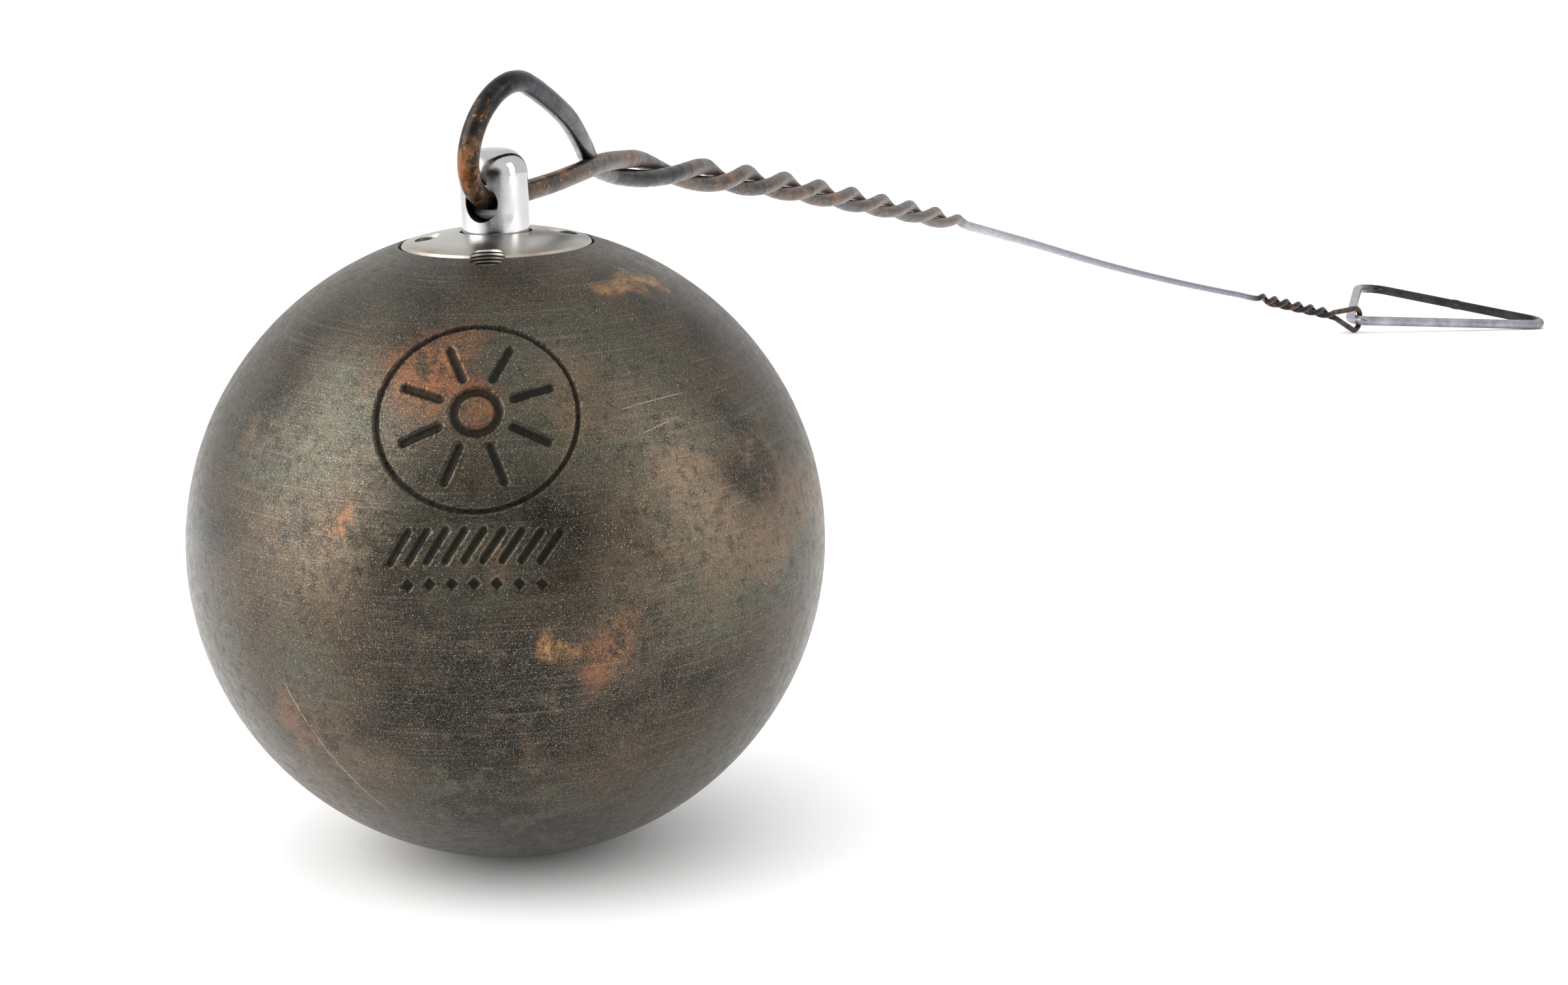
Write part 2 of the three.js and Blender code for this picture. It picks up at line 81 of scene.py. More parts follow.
def makeCamera():
    data = bpy.data.cameras.new("camera")
    data.lens = camera["lens"]
    data.sensor_width = camera["sensor"]
    data.clip_start = 0.01
    holder = bpy.data.objects.new("camera", data)
    holder.location = camera["place"]
    holder.rotation_euler = (math.radians(camera["pitch"]), 0, 0)
    bpy.context.scene.collection.objects.link(holder)
    bpy.context.scene.camera = holder


def makeFloor():
    half = studio["floorSide"] / 2
    front = studio["floorFront"]
    corners = [(-half, front, 0), (half, front, 0), (half, half, 0), (-half, half, 0)]
    mesh = bpy.data.meshes.new("floor")
    mesh.from_pydata(corners, [], [(0, 1, 2, 3)])
    floor = bpy.data.objects.new("floor", mesh)
    bpy.context.scene.collection.objects.link(floor)
    material = bpy.data.materials.new("palePaper")
    material.use_nodes = True
    shader = material.node_tree.nodes["Principled BSDF"]
    tone = studio["floorTone"]
    shader.inputs["Base Color"].default_value = (tone, tone, tone, 1)
    shader.inputs["Roughness"].default_value = 0.9
    shader.inputs["Specular IOR Level"].default_value = 0.1
    mesh.materials.append(material)


def makeWorld():
    world = bpy.data.worlds.new("whiteTent")
    bpy.context.scene.world = world
    world.use_nodes = True
    tree = world.node_tree
    tree.nodes.clear()
    split = tree.nodes.new("ShaderNodeSeparateXYZ")
    tree.links.new(tree.nodes.new("ShaderNodeTexCoord").outputs["Generated"], split.inputs[0])

    def share(low, high, start, end):
        node = tree.nodes.new("ShaderNodeMapRange")
        node.interpolation_type = "SMOOTHSTEP"
        for socket, value in zip(node.inputs[1:5], (low, high, start, end)):
            socket.default_value = value
        tree.links.new(split.outputs["Y"], node.inputs["Value"])
        return node.outputs[0]

    gap, far = studio["dimGap"], studio["dimFar"]
    strength = tree.nodes.new("ShaderNodeMath")
    strength.operation = "MULTIPLY"
    nearShare = share(-gap["to"], -gap["from"], gap["light"], studio["tentLight"])
    tree.links.new(nearShare, strength.inputs[0])
    tree.links.new(share(far["from"], far["to"], 1.0, 1 - far["share"]), strength.inputs[1])
    lit = tree.nodes.new("ShaderNodeBackground")
    lit.inputs["Color"].default_value = (1, 1, 1, 1)
    tree.links.new(strength.outputs[0], lit.inputs["Strength"])
    seen = tree.nodes.new("ShaderNodeBackground")
    seen.inputs["Color"].default_value = (1, 1, 1, 1)
    seen.inputs["Strength"].default_value = studio["backdrop"]
    rays = tree.nodes.new("ShaderNodeLightPath")
    pick = tree.nodes.new("ShaderNodeMixShader")
    tree.links.new(rays.outputs["Is Camera Ray"], pick.inputs["Fac"])
    tree.links.new(lit.outputs[0], pick.inputs[1])
    tree.links.new(seen.outputs[0], pick.inputs[2])
    tree.links.new(pick.outputs[0], tree.nodes.new("ShaderNodeOutputWorld").inputs["Surface"])


def makeSun(name):
    spec = studio[name]
    data = bpy.data.lights.new(name, "SUN")
    data.energy = spec["strength"]
    data.angle = math.radians(spec["spread"])
    holder = bpy.data.objects.new(name, data)
    holder.rotation_euler = (math.radians(spec["tilt"][0]), math.radians(spec["tilt"][1]), 0)
    holder.visible_glossy = False
    bpy.context.scene.collection.objects.link(holder)


def makeSoftbox(name, aim=(0.0, 0.0, 0.05)):
    spec = studio[name]
    data = bpy.data.lights.new(name, "AREA")
    data.shape = "RECTANGLE"
    data.size, data.size_y = spec["size"]
    data.energy = spec["power"]
    holder = bpy.data.objects.new(name, data)
    holder.location = spec["place"]
    holder.rotation_euler = (Vector(aim) - Vector(spec["place"])).to_track_quat("-Z", "Y").to_euler()
    bpy.context.scene.collection.objects.link(holder)


bpy.context.scene.view_settings.view_transform = "Standard"
makeCamera()
makeFloor()
makeWorld()
for sunName in ("roofLight", "fillLight"):
    makeSun(sunName)
for boxName in ("leftBox", "rightBox"):
    makeSoftbox(boxName)
print("studio ready")


def toWorld(points):  # millimetres in the swivel's frame to metres in the row's frame
    return (ballCentre + np.asarray(points) @ swivelTurn.T) * mm


def newPiece(name, points, faces, sharp=35):  # points in metres
    mesh = bpy.data.meshes.new(name)
    mesh.from_pydata([tuple(p) for p in points], [], faces)
    mesh.update()
    mesh.shade_smooth()
    mesh.set_sharp_from_angle(angle=math.radians(sharp))
    piece = bpy.data.objects.new(name, mesh)
    bpy.context.scene.collection.objects.link(piece)
    return piece


def revolve(profile, angles, closed=False):  # rings of [radius, height] about the third axis
    points = []
    rings = []
    for radius, height in profile:
        if radius < 1e-9:
            rings.append([len(points)])
            points.append((0.0, 0.0, height))
            continue
        rings.append(list(range(len(points), len(points) + len(angles))))
        points += [(radius * math.cos(a), radius * math.sin(a), height) for a in angles]
    faces = []
    pairs = list(zip(rings, rings[1:]))
    if closed:
        pairs.append((rings[-1], rings[0]))
    count = len(angles)
    for lower, upper in pairs:
        for i in range(count):
            j = (i + 1) % count
            if len(lower) == 1:
                faces.append((lower[0], upper[j], upper[i]))
            elif len(upper) == 1:
                faces.append((lower[i], lower[j], upper[0]))
            else:
                faces.append((lower[i], lower[j], upper[j], upper[i]))
    return np.array(points), faces


def evenAngles(count):
    return [2 * math.pi * i / count for i in range(count)]


def carve(piece, cutters, sharp=35):  # takes the cutters away and keeps the result as the mesh
    for cutter in cutters:
        modifier = piece.modifiers.new("cut", "BOOLEAN")
        modifier.operation = "DIFFERENCE"
        modifier.solver = "MANIFOLD"
        modifier.object = cutter
    graph = bpy.context.evaluated_depsgraph_get()
    fresh = bpy.data.meshes.new_from_object(piece.evaluated_get(graph))
    piece.modifiers.clear()
    piece.data = fresh
    fresh.shade_smooth()
    fresh.set_sharp_from_angle(angle=math.radians(sharp))
    for cutter in cutters:
        bpy.data.objects.remove(cutter)


def verticesOf(piece):  # millimetres
    flat = np.empty(len(piece.data.vertices) * 3, np.float32)
    piece.data.vertices.foreach_get("co", flat)
    return flat.reshape(-1, 3).astype(float) / mm


def storeMask(piece, name, values):
    layer = piece.data.attributes.new(name, "FLOAT", "POINT")
    layer.data.foreach_set("value", np.asarray(values, np.float32))


def smooth(low, high, values):
    t = np.clip((np.asarray(values) - low) / (high - low), 0, 1)
    return t * t * (3 - 2 * t)


def sweep(points, radii, sides, loop=False):  # a round tube along points, in millimetres
    points = np.asarray(points, float)
    count = len(points)
    if loop:
        tangents = np.roll(points, -1, 0) - np.roll(points, 1, 0)
    else:
        tangents = np.gradient(points, axis=0)
    tangents /= np.linalg.norm(tangents, axis=1)[:, None]
    across = np.zeros_like(points)
    first = np.cross(tangents[0], (0.0, 0.0, 1.0))
    across[0] = first / np.linalg.norm(first)
    for i in range(1, count):  # carried along without twisting
        side = across[i - 1] - tangents[i] * across[i - 1].dot(tangents[i])
        across[i] = side / np.linalg.norm(side)
    over = np.cross(tangents, across)
    angles = np.array(evenAngles(sides))
    rings = (across[:, None] * np.cos(angles)[None, :, None]
             + over[:, None] * np.sin(angles)[None, :, None])
    verts = (points[:, None] + rings * np.asarray(radii)[:, None, None]).reshape(-1, 3)
    faces = []
    for i in range(count if loop else count - 1):
        j = (i + 1) % count
        for k in range(sides):
            m = (k + 1) % sides
            faces.append((i * sides + k, i * sides + m, j * sides + m, j * sides + k))
    if not loop:
        faces.append(tuple(range(sides))[::-1])
        faces.append(tuple(range((count - 1) * sides, count * sides)))
    return verts, faces


def throughPoints(points, perSpan):  # centripetal Catmull-Rom, as the frame's own route
    p = np.asarray(points, float)
    p = np.vstack([2 * p[0] - p[1], p, 2 * p[-1] - p[-2]])
    result = []
    for i in range(1, len(p) - 2):
        p0, p1, p2, p3 = p[i - 1:i + 3]
        d0 = math.sqrt(np.linalg.norm(p1 - p0))
        d1 = math.sqrt(np.linalg.norm(p2 - p1))
        d2 = math.sqrt(np.linalg.norm(p3 - p2))
        m1 = ((p1 - p0) / d0 - (p2 - p0) / (d0 + d1) + (p2 - p1) / d1) * d1
        m2 = ((p2 - p1) / d1 - (p3 - p1) / (d1 + d2) + (p3 - p2) / d2) * d1
        for t in np.arange(perSpan) / perSpan:
            result.append(p1 + m1 * t + (3 * (p2 - p1) - 2 * m1 - m2) * t * t
                          + (2 * (p1 - p2) + m1 + m2) * t ** 3)
    result.append(p[-2])
    return np.array(result)


def tint(red, green, blue):  # a screen colour as the linear one that nodes use
    def linear(value):
        v = value / 255
        return v / 12.92 if v <= 0.04045 else ((v + 0.055) / 1.055) ** 2.4
    return (linear(red), linear(green), linear(blue), 1.0)


class Finish:  # one material, and short ways of adding nodes to it
    def __init__(self, name):
        self.material = bpy.data.materials.new(name)
        self.material.use_nodes = True
        self.tree = self.material.node_tree
        self.tree.nodes.clear()
        self.shader = self.tree.nodes.new("ShaderNodeBsdfPrincipled")
        output = self.tree.nodes.new("ShaderNodeOutputMaterial")
        self.tree.links.new(self.shader.outputs[0], output.inputs[0])
        self.place = self.tree.nodes.new("ShaderNodeTexCoord").outputs["Object"]

    def put(self, socket, value):
        if isinstance(value, bpy.types.NodeSocket):
            self.tree.links.new(value, socket)
        else:
            socket.default_value = value

    def math(self, operation, a, b=0.0, clamp=False):
        node = self.tree.nodes.new("ShaderNodeMath")
        node.operation = operation
        node.use_clamp = clamp
        self.put(node.inputs[0], a)
        self.put(node.inputs[1], b)
        return node.outputs[0]

    def vector(self, operation, a, b=(0, 0, 0)):
        node = self.tree.nodes.new("ShaderNodeVectorMath")
        node.operation = operation
        self.put(node.inputs[0], a)
        self.put(node.inputs[1], b)
        return node.outputs["Value" if operation in ("DISTANCE", "DOT_PRODUCT", "LENGTH") else 0]

    def placed(self, where, scale=(1, 1, 1), turn=(0, 0, 0), shift=(0, 0, 0)):
        node = self.tree.nodes.new("ShaderNodeMapping")
        self.put(node.inputs["Vector"], where)
        node.inputs["Location"].default_value = shift
        node.inputs["Rotation"].default_value = turn
        node.inputs["Scale"].default_value = scale
        return node.outputs[0]

    def noise(self, where, scale, detail=4.0, rough=0.55, colour=False):
        node = self.tree.nodes.new("ShaderNodeTexNoise")
        self.put(node.inputs["Vector"], where)
        node.inputs["Scale"].default_value = scale
        node.inputs["Detail"].default_value = detail
        node.inputs["Roughness"].default_value = rough
        return node.outputs["Color" if colour else "Fac"]

    def cells(self, where, scale):  # distance to a scattered point, and that cell's own random tone
        node = self.tree.nodes.new("ShaderNodeTexVoronoi")
        self.put(node.inputs["Vector"], where)
        node.inputs["Scale"].default_value = scale
        return node.outputs["Distance"], node.outputs["Color"]

    def span(self, value, low, high, start=0.0, end=1.0):
        node = self.tree.nodes.new("ShaderNodeMapRange")
        node.interpolation_type = "SMOOTHSTEP"
        self.put(node.inputs["Value"], value)
        self.put(node.inputs["From Min"], low)
        self.put(node.inputs["From Max"], high)
        self.put(node.inputs["To Min"], start)
        self.put(node.inputs["To Max"], end)
        return node.outputs[0]

    def ramp(self, value, stops):
        node = self.tree.nodes.new("ShaderNodeValToRGB")
        self.put(node.inputs[0], value)
        elements = node.color_ramp.elements
        while len(elements) < len(stops):
            elements.new(0.5)
        for element, (position, colour) in zip(elements, stops):
            element.position = position
            element.color = colour
        return node.outputs[0]

    def blend(self, amount, a, b, mode="MIX"):
        node = self.tree.nodes.new("ShaderNodeMix")
        node.data_type = "RGBA"
        node.blend_type = mode
        self.put(node.inputs[0], amount)
        self.put(node.inputs[6], a)
        self.put(node.inputs[7], b)
        return node.outputs[2]

    def mask(self, name):
        node = self.tree.nodes.new("ShaderNodeAttribute")
        node.attribute_name = name
        return node.outputs["Fac"]

    def bumps(self, *layers):  # (height, depth in metres, strength), coarse to fine
        normal = None
        for height, depth, strength in layers:
            node = self.tree.nodes.new("ShaderNodeBump")
            node.inputs["Strength"].default_value = strength
            node.inputs["Distance"].default_value = depth
            self.put(node.inputs["Height"], height)
            if normal is not None:
                self.put(node.inputs["Normal"], normal)
            normal = node.outputs[0]
        self.put(self.shader.inputs["Normal"], normal)

    def scratch(self, where, start, end, bow, width):  # on a unit ball, between two compass directions
        a, b = Vector(compass(*start)), Vector(compass(*end))
        pole = (a.cross(b).normalized() + (a + b).normalized() * bow).normalized()
        height = self.vector("DOT_PRODUCT", where, tuple(pole))
        offset = self.math("ABSOLUTE", self.math("SUBTRACT", height, pole.dot(a)))
        away = self.vector("DISTANCE", where, tuple((a + b) / 2))
        half = (b - a).length / 2
        inside = self.span(away, half * 1.02, half * 0.9)
        return self.math("MULTIPLY", self.span(offset, width, width * 0.4), inside)

    def set(self, colour, rough, metal):
        self.put(self.shader.inputs["Base Color"], colour)
        self.put(self.shader.inputs["Roughness"], rough)
        self.put(self.shader.inputs["Metallic"], metal)


def dress(piece, finish):
    piece.data.materials.clear()
    piece.data.materials.append(finish)


def compass(azimuth, elevation):  # a direction from the ball's centre
    a, e = math.radians(azimuth), math.radians(elevation)
    return np.array([math.cos(e) * math.cos(a), math.cos(e) * math.sin(a), math.sin(e)])


ball = {
    "radius": 47.5,
    "boreRadius": 14.05,
    "boreShoulder": 17.2,
    "coreBore": (13.0, -31.0),
    "edgeChamfer": 0.22,
    "rowSpans": [(18.0, 24.0, 0.4), (24.0, 34.5, 0.9), (34.5, 83.5, 0.25), (83.5, 160.0, 1.7),
                 (160.0, 180.0, 1.0)],  # degrees from the swivel's axis: from, to, step
    "columnStep": 3.0,
    "markColumnStep": 0.3,
    "markColumns": 22.0,
}
lockHole = {"radius": 2.6, "threadDepth": 0.16, "pitch": 0.5, "offset": 13.75, "angle": -69.4,
            "floor": 37.3}
mark = {
    "azimuth": -88.0,
    "elevation": 31.5,
    "depth": 0.42,
    "ringRadius": 13.3,
    "ringHalf": 0.36,
    "rays": 8,
    "rayFrom": 5.2,
    "rayTo": 10.2,
    "rayHalf": 0.62,
    "hubRadius": 2.9,
    "hatchRow": {"up": -17.6, "count": 9, "pitch": 2.5, "lean": 1.3, "tall": 3.9, "half": 0.55},
    "pitRow": {"up": -22.6, "count": 7, "pitch": 3.0, "reach": 0.95},
    "reach": 42.0,  # degrees from the mark's centre that the cutting goes to
    "ragged": 0.07,
    "burr": 0.07,
}


def markPlane(points):  # millimetres right of and above the mark's centre, along the surface
    outward = compass(mark["azimuth"], mark["elevation"])
    east = compass(mark["azimuth"] + 90, 0)
    north = np.cross(outward, east)
    rays = points - ballCentre
    rays /= np.maximum(np.linalg.norm(rays, axis=1), 1e-9)[:, None]
    away = np.arccos(np.clip(rays @ outward, -1, 1))
    stretch = ball["radius"] * away / np.maximum(np.sin(away), 1e-6)
    return rays @ east * stretch, rays @ north * stretch, away


def toSegment(u, v, start, end):
    along = np.array(end) - np.array(start)
    t = np.clip(((u - start[0]) * along[0] + (v - start[1]) * along[1]) / along.dot(along), 0, 1)
    return np.hypot(u - start[0] - t * along[0], v - start[1] - t * along[1])


def markEdge(u, v):  # distance outside the nearest stroke's edge, negative within it
    reach = np.hypot(u, v)
    edge = np.minimum(np.abs(reach - mark["ringRadius"]) - mark["ringHalf"],
                      np.abs(reach - mark["hubRadius"]) - mark["rayHalf"])
    for i in range(mark["rays"]):
        a = 2 * math.pi * (i + 0.5) / mark["rays"]
        start = (mark["rayFrom"] * math.cos(a), mark["rayFrom"] * math.sin(a))
        end = (mark["rayTo"] * math.cos(a), mark["rayTo"] * math.sin(a))
        edge = np.minimum(edge, toSegment(u, v, start, end) - mark["rayHalf"])
    hatch = mark["hatchRow"]
    for i in range(hatch["count"]):
        x = (i - (hatch["count"] - 1) / 2) * hatch["pitch"]
        low = (x - hatch["lean"], hatch["up"] - hatch["tall"] / 2)
        high = (x + hatch["lean"], hatch["up"] + hatch["tall"] / 2)
        edge = np.minimum(edge, toSegment(u, v, low, high) - hatch["half"])
    pits = mark["pitRow"]
    for i in range(pits["count"]):
        x = (i - (pits["count"] - 1) / 2) * pits["pitch"]
        edge = np.minimum(edge, np.abs(u - x) + np.abs(v - pits["up"]) - pits["reach"])
    return edge


def engrave(points):
    u, v, away = markPlane(points)
    onSurface = np.linalg.norm(points - ballCentre, axis=1) > ball["radius"] - 0.01
    near = (away < math.radians(mark["reach"])) & onSurface
    wander = np.random.default_rng(4)
    edge = markEdge(u[near], v[near])
    jitter = wander.normal(0, 1, len(edge))
    edge = edge + mark["ragged"] * jitter * np.exp(-(edge / 0.5) ** 2)
    sunk = mark["depth"] * smooth(0.16, -0.3, edge) * (1 + 0.08 * jitter)
    lifted = mark["burr"] * np.exp(-((edge - 0.22) / 0.16) ** 2) * (0.6 + 0.5 * jitter)
    rays = points[near] - ballCentre
    rays /= np.linalg.norm(rays, axis=1)[:, None]
    points[near] += rays * (np.maximum(lifted, 0) - sunk)[:, None]
    return points


def lockHoleCutter(name):
    profile = [(0.0, lockHole["floor"]), (lockHole["radius"], lockHole["floor"])]
    height = lockHole["floor"] + lockHole["pitch"]
    while height < 46.4:  # thread crests and roots up to the surface
        profile.append((lockHole["radius"] - lockHole["threadDepth"], height))
        profile.append((lockHole["radius"], height + lockHole["pitch"] / 2))
        height += lockHole["pitch"]
    profile += [(lockHole["radius"] + 0.1, 50.0), (0.0, 50.0)]
    points, faces = revolve(profile, evenAngles(56))
    a = math.radians(lockHole["angle"])
    points += [lockHole["offset"] * math.cos(a), lockHole["offset"] * math.sin(a), 0]
    return newPiece(name, toWorld(points), faces)


def makeBall():
    radius = ball["radius"]
    bore = ball["boreRadius"]
    coreRadius, coreFloor = ball["coreBore"]
    chamfer = ball["edgeChamfer"]
    edgeHeight = math.sqrt(radius ** 2 - bore ** 2)
    profile = [(0.0, coreFloor), (coreRadius, coreFloor), (coreRadius, ball["boreShoulder"]),
               (bore, ball["boreShoulder"]), (bore, 42.0), (bore, edgeHeight - chamfer * 1.4)]
    thetas = [math.degrees(math.asin((bore + chamfer) / radius))]
    for start, end, step in ball["rowSpans"]:
        thetas += list(np.arange(start, end - step / 2, step))
    for theta in thetas:
        t = math.radians(theta)
        profile.append((radius * math.sin(t), radius * math.cos(t)))
    profile.append((0.0, -radius))
    outward = compass(mark["azimuth"], mark["elevation"])
    middle = math.degrees(math.atan2(outward @ axisHole, outward @ axisSide))
    half = ball["markColumns"]
    columns = list(np.arange(middle - half, middle + half, ball["markColumnStep"]))
    columns += list(np.arange(middle + half, middle - half + 359, ball["columnStep"]))
    points, faces = revolve(profile, [math.radians(c) for c in columns])
    world = toWorld(points) / mm
    world = engrave(world)
    world[:, 2] = np.maximum(world[:, 2], 0)  # the small worn flat it stands on
    piece = newPiece("ball", world * mm, [face[::-1] for face in faces], sharp=50)
    carve(piece, [lockHoleCutter("lockCutA")], sharp=50)
    u, v, away = markPlane(verticesOf(piece))
    groove = np.where(away < math.radians(mark["reach"]), smooth(0.18, -0.2, markEdge(u, v)), 0)
    # painted shade: every recess more than 0.25 mm below the ball's surface, such as the lock hole, is
    # darkened together with the mark's cut, more for deeper recesses
    inside = smooth(0.25, 0.6, radius - np.linalg.norm(verticesOf(piece) - ballCentre, axis=1))
    storeMask(piece, "groove", np.maximum(groove, inside))
    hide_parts("head_shell")
    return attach(piece, "head")


patina = {
    "deep": tint(26, 24, 20),
    "brown": tint(70, 58, 46),
    "olive": tint(70, 69, 58),
    "warm": tint(106, 88, 71),
    "rust": tint(132, 84, 54),
    "tan": tint(176, 128, 78),
    "dark": tint(17, 15, 13),
    "dust": tint(198, 190, 172),
    # dark for the mark's cut and, as painted shade, for the deep recesses
    "groove": tint(22, 21, 16),
    # azimuth, elevation, radius in ball radii, colour, strength
    "patches": [
        (-101, 14, 0.34, "olive", 0.7), (-113, 60, 0.30, "olive", 0.65), (-55, 1, 0.28, "olive", 0.6),
        (-60, 40, 0.25, "olive", 0.45), (-112, 7, 0.22, "warm", 0.5), (-118, -28, 0.28, "warm", 0.55),
        (-52, 15, 0.34, "warm", 0.55), (-70, -22, 0.3, "warm", 0.4), (-95, 38.7, 0.17, "rust", 0.85),
        (-87.5, 35, 0.13, "rust", 0.65), (-112, 13, 0.07, "rust", 0.6), (-125, -22, 0.12, "rust", 0.35),
        (-131, 29, 0.20, "dark", 0.8), (-136, 46, 0.16, "dark", 0.55), (-84, -8, 0.20, "dark", 0.95),
        (-101, -1.5, 0.13, "dark", 0.75), (-73, 11.6, 0.15, "dark", 0.75),
        (-86, -20, 0.36, "dark", 0.95), (-84, -46, 0.34, "dark", 0.8),
        (-38, 17, 0.15, "dark", 0.85), (-33, 26, 0.10, "dark", 0.7), (-100, 62, 0.22, "dark", 0.5),
        (-76, -3, 0.055, "tan", 1.0), (-67, -5.5, 0.12, "rust", 0.6), (-45, 56, 0.06, "tan", 0.8),
        (-32, 57, 0.05, "tan", 0.75), (-38, 58, 0.04, "tan", 0.75),
    ],
}


def ballFinish():
    f = Finish("blackenedSteel")
    radius = ball["radius"] * mm
    shift = tuple(-c * mm / radius for c in ballCentre)
    where = f.placed(f.place, scale=(1 / radius,) * 3, shift=shift)
    warp = f.vector("SUBTRACT", f.noise(where, 2.6, 6, 0.62, colour=True), (0.5, 0.5, 0.5))
    warped = f.vector("ADD", where, f.vector("MULTIPLY", warp, (0.55, 0.55, 0.55)))
    cloud = f.noise(where, 1.7, 5, 0.55)
    colour = f.ramp(cloud, [(0.34, patina["deep"]), (0.46, patina["brown"]), (0.56, patina["olive"]),
                            (0.66, patina["warm"])])
    breakup = f.noise(where, 12, 8, 0.76)
    for azimuth, elevation, size, name, strength in patina["patches"]:
        centre = tuple(compass(azimuth, elevation))
        amount = f.span(f.vector("DISTANCE", warped, centre), size * 0.2, size * 1.35, strength, 0.0)
        amount = f.math("MULTIPLY", amount, f.span(breakup, 0.42, 0.52, 0.15, 1.0))
        colour = f.blend(amount, colour, patina[name])
    mottle = f.noise(where, 30, 7, 0.78)
    colour = f.blend(f.span(mottle, 0.5, 0.6, 0.0, 0.55), colour, patina["dark"])
    turnBack = Matrix([list(row) for row in swivelTurn.T]).to_euler()
    lathe = f.placed(f.placed(where, turn=tuple(turnBack)), scale=(3.0, 3.0, 210.0))
    lines = f.noise(lathe, 1.0, 3, 0.6)
    colour = f.blend(f.span(lines, 0.5, 0.8, 0.0, 0.1), colour, patina["dust"])
    grain = f.noise(where, 330, 2, 0.8)
    colour = f.blend(f.span(grain, 0.52, 0.7, 0.0, 0.34), colour, patina["dust"])
    colour = f.blend(f.span(grain, 0.5, 0.3, 0.0, 0.4), colour, patina["dark"])
    scratches = f.math("ADD", f.scratch(where, (-124, -14), (-112, -42), -0.04, 0.0032),
                       f.scratch(where, (-61, 31), (-46, 33), 0.01, 0.0018))
    scratches = f.math("ADD", scratches, f.scratch(where, (-60, 26), (-49, 29), -0.01, 0.0016))
    scratches = f.math("MULTIPLY", scratches, f.span(mottle, 0.42, 0.56, 0.1, 0.45))
    colour = f.blend(scratches, colour, patina["dust"])
    distance, tone = f.cells(where, 120)
    chance = f.span(f.vector("DOT_PRODUCT", tone, (1, 0, 0)), 0.6, 1.0)
    speck = f.math("MULTIPLY", f.span(distance, 0.10, 0.24, 1.0, 0.0), chance)
    colour = f.blend(f.math("MULTIPLY", speck, 0.6), colour, patina["dust"])
    # the mark's cut darkened as dirt in its grooves, and deeper recesses such as the lock hole darkened as
    # painted shade
    groove = f.mask("groove")
    colour = f.blend(f.math("MULTIPLY", groove, 0.9), colour, patina["groove"])
    rough = f.math("ADD", f.span(cloud, 0.3, 0.7, 0.27, 0.38), f.span(mottle, 0.35, 0.65, -0.04, 0.1))
    rough = f.math("ADD", rough, f.math("MULTIPLY", groove, 0.2))
    f.set(colour, rough, f.span(mottle, 0.35, 0.7, 0.9, 0.65))
    f.bumps((mottle, 0.00008, 0.3), (lines, 0.00002, 0.2), (grain, 0.00004, 0.35), (speck, 0.00004, 0.5))
    return f.material


ballPiece = makeBall()
dress(ballPiece, ballFinish())
print("ball:", len(ballPiece.data.polygons), "faces")


housing = {
    "radius": 13.75,
    "bottom": 17.5,
    "shoulder": 38.0,
    "neckLip": 45.0,
    "neckRadius": 5.3,
    "bushSeat": 6.4,
    "bearingSeat": 10.4,
    "rimChamfer": 0.3,
    "spanner": {"radius": 1.8, "depth": 4.5, "offset": 10.0, "angles": (32.0, 212.0)},
}
screw = {"radius": 2.3, "top": 43.0, "bottom": 37.6, "acrossFlats": 2.6, "socketDepth": 2.4}
stem = {
    "radius": 4.9,
    "bottom": 21.5,
    "top": 58.8,
    "roundness": 3.3,
    "holeHeight": 51.6,
    "holeRadius": 2.3,
    "flare": 0.55,
    "wireWear": 1.85,  # the wire has worn a ring-shaped groove along its own bend
    "wireLoop": {"radius": 8.7, "lean": 15.0, "yaw": 8.0},
    "nutPinHeight": 26.3,
    "nutPinBore": 1.3,
    # bearing in the swivel's frame, height, width, depth of each knock
    "knocks": [(-113, 56.6, 1.5, 0.22), (-95, 54.9, 1.0, 0.12), (-135, 55.4, 1.1, 0.14),
               (-67, 57.2, 0.9, 0.10), (-40, 50.0, 0.8, 0.07), (125, 55.0, 1.3, 0.12)],
}


def loopTurn():  # from upright along the cross hole to the wire loop's own plane
    loop = stem["wireLoop"]
    yaw = Matrix.Rotation(math.radians(-loop["yaw"]), 3, "Z")
    return np.array(yaw @ Matrix.Rotation(math.radians(loop["lean"]), 3, "Y"))


def crownHeight(radius):
    return math.sqrt(ball["radius"] ** 2 - radius ** 2)


